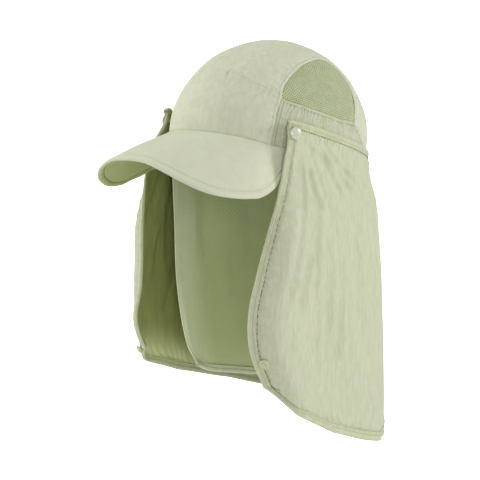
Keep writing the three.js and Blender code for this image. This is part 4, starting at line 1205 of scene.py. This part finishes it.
def bound_edge(name, place, stations, width, materials,
               cloth=flap_wall, fullness=np.ones_like, inner_shade=np.ones_like):
    """Tape folded over an edge: place(station, reach) gives points of the cloth, and reach 0 is its edge."""
    reach = whole_profile["reach"]
    at, into = np.meshgrid(stations, np.maximum(reach, 0), indexing="ij")
    step = 1e-3
    here = place(at, into)
    inward = unit(place(at, into + 0.3) - here)
    along = unit(place(np.clip(at + step, stations[0], stations[-1]), into)
                 - place(np.clip(at - step, stations[0], stations[-1]), into))
    normal = facing_out(unit(np.cross(along, inward)), here)
    rise = cloth / 2 + tape_clearance + 0.9 * whole_profile["rise"] * tape_thickness * fullness(at)
    rise = rise * whole_profile["face"]
    beyond = np.minimum(reach, 0) * width
    points = here + inward * beyond[None, :, None] + normal * rise[..., None]
    run = run_lengths(here[:, :1])
    marks = {
        "outward": normal * np.where(whole_profile["face"] < 0, -1, 1)[None, :, None],
        "tape_reach": np.broadcast_to(np.maximum(reach, 0), at.shape),
        "tape_run": np.broadcast_to(run, at.shape),
        "tape_inside_shade": (whole_profile["face"] < 0) * inner_shade(at),
    }
    return cloth_from_grid(name, points, marks, tape_cloth, -1, materials)


def tape_material(name, pale, deep, inside_shade_share, lines=1.0):
    material, nodes, shader = new_material(name, 0.8, 0.1)
    coordinates = nodes.add("ShaderNodeTexCoord").outputs
    ribs = use_group(nodes, "plain weave", Cloth=coordinates["UV"], Pitch=tape_weave_pitch)
    creases = use_group(nodes, "nylon crinkle", Place=coordinates["Object"], Size=0.006, Length=0.008)
    reach = mark(nodes, "tape_reach")
    off = nodes.times(nodes.minus(reach, tape_stitch_reach), tape_width)
    rows = use_group(nodes, "stitch row", Off=off, Run=mark(nodes, "tape_run"),
                     Pitch=tape_stitch_pitch, Width=thread_width)
    tone = nodes.blend(nodes.ramp(creases["Streaks"], 0.3, 0.7), deep, pale)
    # painted shade: the stitch holes of the tape are darkened in the colour
    tone = nodes.blend(nodes.times(rows["Hole Shade"], 0.8 * lines), tone, shaded(deep, 0.4))
    # painted shade: a dark line in the groove of the tape's fold
    fold_shade = nodes.ramp(nodes.calc("ABSOLUTE", nodes.minus(reach, tape_fold_reach)), 0.03, 0.0)
    tone = nodes.blend(nodes.times(fold_shade, 0.45 * lines), tone, shaded(deep, 0.4))
    # painted shade: the inner edge of the tape is darkened for the shadow in the gap between tape and cloth
    tone = nodes.blend(nodes.times(nodes.ramp(reach, 0.975, 1.0), 0.7), tone, shaded(deep, 0.4))
    # painted shade: the tape's inner face is blended to a dark olive that stands in for the shade inside the
    # flap
    inside = nodes.times(mark(nodes, "tape_inside_shade"), inside_shade_share)
    tone = nodes.blend(inside, tone, srgb(146, 152, 92))
    nodes.join(tone, shader["Base Color"])
    height = nodes.plus(nodes.times(creases["Height"], 0.4), nodes.times(ribs["Height"], 0.15))
    height = nodes.minus(height, nodes.times(rows["Dip"], 0.4 * lines))
    relief(nodes, shader, height, 0.0005)
    return material


binding_nylon = tape_material("binding tape", srgb(205, 208, 177), srgb(195, 199, 163), 0.8)


def edge_place(at, into):
    """Places along the left front edge, the hem and the right front edge, for stations from 0 to 3."""
    share = into * tape_width / side_length
    part = np.clip(at, 0, 3)
    left = part <= 1
    right = part >= 2
    inner = 1 - share
    turn = np.where(left, -inner, np.where(right, inner, -inner + 2 * inner * (part - 1)))
    drop = into * tape_width / front_edge_length
    run = np.where(left, part, np.where(right, 3 - part, 1))
    down = run * (1 - drop)
    return flap_surface(turn, down)


edge_stations = np.concatenate([np.linspace(0, 1, 130), np.linspace(1, 2, 330)[1:],
                                np.linspace(2, 3, 130)[1:]])


def painted_inside_shade(at):
    """Share of painted shade on the tape's inner face: 1 along the two front edges, and less along the hem,
    where it is painted paler.
    """
    return 1 - 0.6 * smooth_step(0.98, 1.02, at) * (1 - smooth_step(1.98, 2.02, at))


flap_binding = bound_edge("flap_binding", edge_place, edge_stations, tape_width, [binding_nylon],
                          inner_shade=painted_inside_shade)
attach(flap_binding, "root")
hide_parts("flap_edge_tape")


def top_place(at, into):
    """Places along the top edge from front edge to front edge, for stations from 0 to 1."""
    return flap_surface(np.clip(2 * at - 1, -0.9995, 0.9995), into * top_tape_width / flap_length)


def over_corner(at):
    """The top tape is laid over the ends of the front binding, so it is fuller there."""
    return 0.75 + 1.5 * smooth_step(0.011, 0.007, np.minimum(at, 1 - at) * 2 * side_length)


top_stations = crowded(380, 0.8)
flap_top_binding = bound_edge("flap_top_binding", top_place, top_stations, top_tape_width, [binding_nylon],
                              fullness=over_corner)
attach(flap_top_binding, "root")
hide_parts("flap_top_tape")

# The inner curtain is a limp knit mesh that hangs from inside the crown's rim round the neck.
# Its lower edge is turned into a pale woven hem.
curtain_front_drop = 0.219
curtain_back_drop = 0.246
curtain_inset = 0.002
curtain_sweep = 0.027
near_edge_sweep = 0.012
curtain_overlap = 0.009
curtain_seat_gap = 0.001
curtain_front_angle = math.radians(50)
curtain_hem_width = 0.007
curtain_length = 0.25
curtain_fold = 0.0022
curtain_ripple = 0.0009
curtain_edge_fold = 0.003
rib_pitch = 0.0016
curtain_columns = 190
curtain_rows = 100

band_part = seam_point(band_rim, np.linspace(0, last_rim_row, 81), 1)
back_part = rim_point(False, 1 - np.linspace(0, 1, 41))[1:]
curtain_rim = np.concatenate([band_part, back_part])
curtain_rim = curtain_rim[curtain_rim[:, 1] > -math.cos(curtain_front_angle) * half_length]
rim_share = run_lengths(curtain_rim) / run_lengths(curtain_rim)[-1]


def curtain_surface(turn, down):
    """Curtain for turns from -1 at the wearer's left front edge to 1 at the right one."""
    hung = [np.interp(1 - np.abs(turn), rim_share, curtain_rim[:, axis]) for axis in range(3)]
    top = hung[2] + curtain_overlap
    hem = -(curtain_back_drop + (curtain_front_drop - curtain_back_drop) * np.abs(turn) ** 1.5)
    z = top + (hem - top) * down
    height = np.maximum(z, hung[2])
    inset = curtain_inset * smooth_step(0, 0.3, down)
    face = crown_normal(crown_at_height(hung[0], hung[1], height, np.zeros_like(height)))
    upright = np.linalg.norm(face[..., :2], axis=-1)
    seat = -(woven_wall + curtain_seat_gap + mesh_wall / 2)
    points = crown_at_height(hung[0], hung[1], height, seat / upright - inset)
    points[..., 0] *= -np.sign(turn)
    points[..., 1] += curtain_sweep * smooth_step(0.6, 1, np.abs(turn)) * down ** 4.5
    points[..., 1] += near_edge_sweep * smooth_step(0.75, 1, -turn) * smooth_step(0, 0.12, down)
    points[..., 2] = z
    return points


turn, down = np.meshgrid(np.linspace(-1, 1, curtain_columns), np.linspace(0, 1, curtain_rows))
curtain = curtain_surface(turn, down)
normal = facing_out(grid_normals(curtain), curtain)
swing = smooth_step(0.08, 0.3, down) * (1 - smooth_step(0.9, 1, down))
lift = swing * (curtain_fold * cloth_noise(curtain, (0.03, 0.03, 0.13), 41)
                + curtain_ripple * cloth_noise(curtain, (0.014, 0.014, 0.06), 42))
curtain_run = across_lengths(curtain)
from_front = np.minimum(curtain_run, curtain_run[:, -1:] - curtain_run)
clear_of_ends = smooth_step(0.05, 0.2, down) * (1 - smooth_step(0.9, 1, down))
lift += curtain_edge_fold * bump(from_front, 0.006) * clear_of_ends

# Knit mesh with fine slanting ribs
ribs, given, result = node_group("ribbed knit", {"Cloth": vector, "Pitch": number}, ["Rib", "Loop"])
place = ribs.add("ShaderNodeSeparateXYZ", i0=given["Cloth"]).outputs
slant = ribs.plus(place[0], ribs.times(place[1], 0.32))
wave = ribs.calc("SINE", ribs.times(ribs.over(slant, given["Pitch"]), 2 * math.pi))
cross = ribs.calc("SINE", ribs.times(ribs.over(place[1], given["Pitch"]), 2 * math.pi))
ribs.join(ribs.calc("MULTIPLY_ADD", wave, 0.5, 0.5), result["Rib"])
ribs.join(ribs.calc("MULTIPLY_ADD", cross, 0.5, 0.5), result["Loop"])


def ribbed_knit(name, pale, deep, painted_light_tone):
    """Knit mesh, painted paler near its front edges as painted light."""
    material, nodes, shader = new_material(name, 0.9, 0.15)
    coordinates = nodes.add("ShaderNodeTexCoord").outputs
    knit = use_group(nodes, "ribbed knit", Cloth=coordinates["UV"], Pitch=rib_pitch)
    patches = use_group(nodes, "nylon crinkle", Place=coordinates["Object"], Size=0.012, Length=0.03)
    raised = nodes.calc("MULTIPLY_ADD", knit["Rib"], 0.6, nodes.times(knit["Loop"], 0.25))
    tone = nodes.blend(raised, deep, pale)
    tone = nodes.blend(nodes.times(nodes.ramp(patches["Streaks"], 0.35, 0.7), 0.25), tone, pale)
    # painted light: the knit is blended paler within 60 mm of its front edges
    tone = nodes.blend(nodes.ramp(mark(nodes, "from_front"), 0.06, 0.0), tone, painted_light_tone)
    nodes.join(tone, shader["Base Color"])
    relief(nodes, shader, nodes.plus(knit["Rib"], nodes.times(knit["Loop"], 0.3)), 0.00018)
    return material


curtain_material = ribbed_knit("ribbed knit mesh", srgb(204, 213, 165), srgb(184, 197, 147),
                               srgb(238, 243, 210))
curtain_marks = {"outward": normal, "from_front": from_front}
curtain_knit = cloth_from_grid("curtain_knit", curtain + normal * lift[..., None], curtain_marks,
                               mesh_wall * 0.5, 0, [curtain_material])
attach(curtain_knit, "root")
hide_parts("neck_curtain")


def hem_place(at, into):
    return curtain_surface(at, 1 - into * curtain_hem_width / curtain_length)


hem_nylon = tape_material("turned hem", srgb(216, 220, 192), srgb(208, 212, 180), 0.0, 0.3)
turned_hem = bound_edge("turned_hem", hem_place, np.linspace(-1, 1, 260), curtain_hem_width, [hem_nylon])
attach(turned_hem, "root")
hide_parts("curtain_hem")

# Four press snaps: a glossy pearl cap at each temple and a smaller matt one at each lower corner.
# Each is a domed cap and a post through the cloth, with its socket pressed on inside.
temple_snap_diameter = 0.0113
lower_snap_diameter = 0.009
snap_dome_height = 0.0022
snap_post_diameter = 0.0036
snap_socket_diameter = 0.0084
snap_socket_thickness = 0.0016
temple_snap_past_tape = 0.0004
temple_snap_below_top = 0.0103
lower_snap_past_tape = 0.0028
lower_snap_heights = {"left": 0.036, "right": 0.005}
cap_clearance = 0.0006
clearance = 0.0004


def snap_material(name, base, roughness, coat):
    material, nodes, shader = new_material(name, roughness)
    coordinates = nodes.add("ShaderNodeTexCoord").outputs
    clouds = nodes.add("ShaderNodeTexNoise", Vector=coordinates["Object"], Scale=500.0, Detail=2.0)
    tone = nodes.blend(nodes.ramp(clouds.outputs[0], 0.3, 0.7), base, shaded(base, 1.12))
    nodes.join(tone, shader["Base Color"])
    shader["Specular IOR Level"].default_value = 0.6
    shader["Coat Weight"].default_value = coat
    shader["Coat Roughness"].default_value = 0.08
    relief(nodes, shader, clouds.outputs[0], 0.00003)
    return material


pearl = snap_material("pearl snap", srgb(196, 200, 174), 0.25, 0.8)
matt_snap = snap_material("matt snap", srgb(182, 188, 143), 0.5, 0.1)


def snap_piece(name, spot, normal, diameter, depth, material):
    """Domed cap, post and socket, spun round the snap's own axis."""
    radius, post, socket = diameter / 2, snap_post_diameter / 2, snap_socket_diameter / 2
    seat = woven_wall / 2 + clearance + tape_thickness + cap_clearance
    low = snap_socket_thickness - depth
    profile = [
        (0, -depth), (socket * 0.9, -depth), (socket, -depth + 0.0003), (socket, low - 0.0003),
        (socket * 0.9, low), (post, low), (post, seat), (radius * 0.9, seat), (radius * 0.985, seat + 0.0002),
        (radius, seat + snap_dome_height * 0.28), (radius * 0.96, seat + snap_dome_height * 0.46),
        (radius * 0.86, seat + snap_dome_height * 0.64), (radius * 0.68, seat + snap_dome_height * 0.82),
        (radius * 0.45, seat + snap_dome_height * 0.93), (radius * 0.22, seat + snap_dome_height * 0.985),
        (0, seat + snap_dome_height),
    ]
    shell = bmesh.new()
    verts = [shell.verts.new((x, 0, z)) for x, z in profile]
    edges = [shell.edges.new(pair) for pair in zip(verts, verts[1:])]
    bmesh.ops.spin(shell, geom=verts + edges, cent=(0, 0, 0), axis=(0, 0, 1), angle=2 * math.pi,
                   steps=48, use_merge=True)
    bmesh.ops.remove_doubles(shell, verts=shell.verts, dist=1e-6)
    bmesh.ops.recalc_face_normals(shell, faces=shell.faces)
    turned = Vector((0, 0, 1)).rotation_difference(Vector(normal)).to_matrix()
    bmesh.ops.rotate(shell, verts=shell.verts, cent=(0, 0, 0), matrix=turned)
    bmesh.ops.translate(shell, verts=shell.verts, vec=Vector(spot))
    return smooth_piece(name, shell, [material])


def snap_seat(turn, from_top, from_hem):
    """Place and outward direction on the flap, a distance down from its top or up from its hem."""
    downs = np.linspace(0, 1, 400)
    line = flap_surface(np.full(400, turn), downs)
    lengths = run_lengths(line)
    down = np.interp(from_top if from_top else lengths[-1] - from_hem, lengths, downs)
    spread = flap_surface(np.array([turn, turn + 0.01, turn - 0.01, turn, turn]),
                          np.array([down, down, down, down + 0.01, down - 0.01]))
    normal = unit(np.cross(spread[1] - spread[2], spread[3] - spread[4]))
    return spread[0], normal * np.sign(normal[:2] @ spread[0][:2])


snaps = []
for side, suffix in ((1, "left"), (-1, "right")):
    turn = -side * (1 - (tape_width + temple_snap_past_tape) / side_length)
    spot, normal = snap_seat(turn, temple_snap_below_top, None)
    low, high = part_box(f"temple_snap_{suffix}")
    corners = np.array([[x, y, z] for x in (low.x, high.x) for y in (low.y, high.y) for z in (low.z, high.z)])
    depth = -min((corner - spot) @ normal for corner in corners) * 0.8
    snaps.append(snap_piece(f"temple_cap_{suffix}", spot, normal, temple_snap_diameter, depth, pearl))
    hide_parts(f"temple_snap_{suffix}")
    turn = -side * (1 - (tape_width + lower_snap_past_tape) / side_length)
    spot, normal = snap_seat(turn, None, lower_snap_heights[suffix])
    depth = woven_wall / 2 + 2 * clearance + tape_thickness + snap_socket_thickness
    snaps.append(snap_piece(f"lower_cap_{suffix}", spot, normal, lower_snap_diameter, depth, matt_snap))
    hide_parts(f"lower_snap_{suffix}")
for snap in snaps:
    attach(snap, "root")

# A plain white studio: a floor that sweeps up into a wall, a broad soft light on the left, weaker
# ones on the right, in front and above, and an even pale sky.
floor_height = -0.62
floor_front = 3.2
wall_foot = 1.2
sweep_radius = 0.9
wall_height = 4.0
stage_width = 9.0
sweep = bmesh.new()
profile = [(floor_front, floor_height)]
profile += [(-wall_foot - sweep_radius * math.sin(angle),
             floor_height + sweep_radius - sweep_radius * math.cos(angle))
            for angle in np.linspace(0, math.pi / 2, 14)]
profile += [(-wall_foot - sweep_radius, wall_height)]
towards_camera = Vector((0.7011, -0.7011, 0))
sideways = Vector((0.7011, 0.7011, 0)).normalized()
verts = [sweep.verts.new(towards_camera * out - sideways * stage_width / 2 + Vector((0, 0, up)))
         for out, up in profile]
edges = [sweep.edges.new(pair) for pair in zip(verts, verts[1:])]
extruded = bmesh.ops.extrude_edge_only(sweep, edges=edges)["geom"]
moved = [item for item in extruded if isinstance(item, bmesh.types.BMVert)]
bmesh.ops.translate(sweep, verts=moved, vec=sideways * stage_width)
bmesh.ops.recalc_face_normals(sweep, faces=sweep.faces)
paper, nodes, shader = new_material("white paper", 1.0)
shader["Base Color"].default_value = (0.75, 0.75, 0.75, 1)
shader["Emission Color"].default_value = (1, 1, 1, 1)
camera_ray = nodes.add("ShaderNodeLightPath").outputs["Is Camera Ray"]
nodes.join(nodes.calc("MULTIPLY_ADD", camera_ray, 0.9, 0.1), shader["Emission Strength"])
backdrop = smooth_piece("studio_sweep", sweep, [paper])


def area_light(name, place, aim, size, power):
    data = bpy.data.lights.new(name, "AREA")
    data.shape = "DISK"
    data.size = size
    data.energy = power
    light = bpy.data.objects.new(name, data)
    light.location = place
    light.rotation_euler = (Vector(aim) - Vector(place)).to_track_quat("-Z", "Y").to_euler()
    bpy.context.scene.collection.objects.link(light)


area_light("left softbox", (-1.45, -1.0, 0.7), (0, 0, -0.05), 0.8, 20)
area_light("right softbox", (1.5, 0.95, 0.55), (0, 0, -0.1), 0.7, 15)
area_light("front fill", (1.6, -1.15, 0.1), (0, 0, -0.12), 0.7, 7)
area_light("top", (0.0, -0.3, 1.9), (0, 0, 0), 1.2, 6)
sky = bpy.data.worlds.new("pale sky")
sky.use_nodes = True
sky.node_tree.nodes["Background"].inputs["Color"].default_value = (1, 1, 1, 1)
sky.node_tree.nodes["Background"].inputs["Strength"].default_value = 0.45
bpy.context.scene.world = sky
bpy.context.scene.view_settings.view_transform = "Standard"

camera_data = bpy.data.cameras.new("camera")
camera_data.sensor_width = 36
camera_data.lens = 140.7
camera_data.clip_end = 20
camera = bpy.data.objects.new("camera", camera_data)
camera.location = (1.2165, -1.2547, 0.1350)
aim = Vector((-0.0104, -0.0278, -0.0934))
camera.rotation_euler = (aim - camera.location).to_track_quat("-Z", "Y").to_euler()
bpy.context.scene.collection.objects.link(camera)
bpy.context.scene.camera = camera
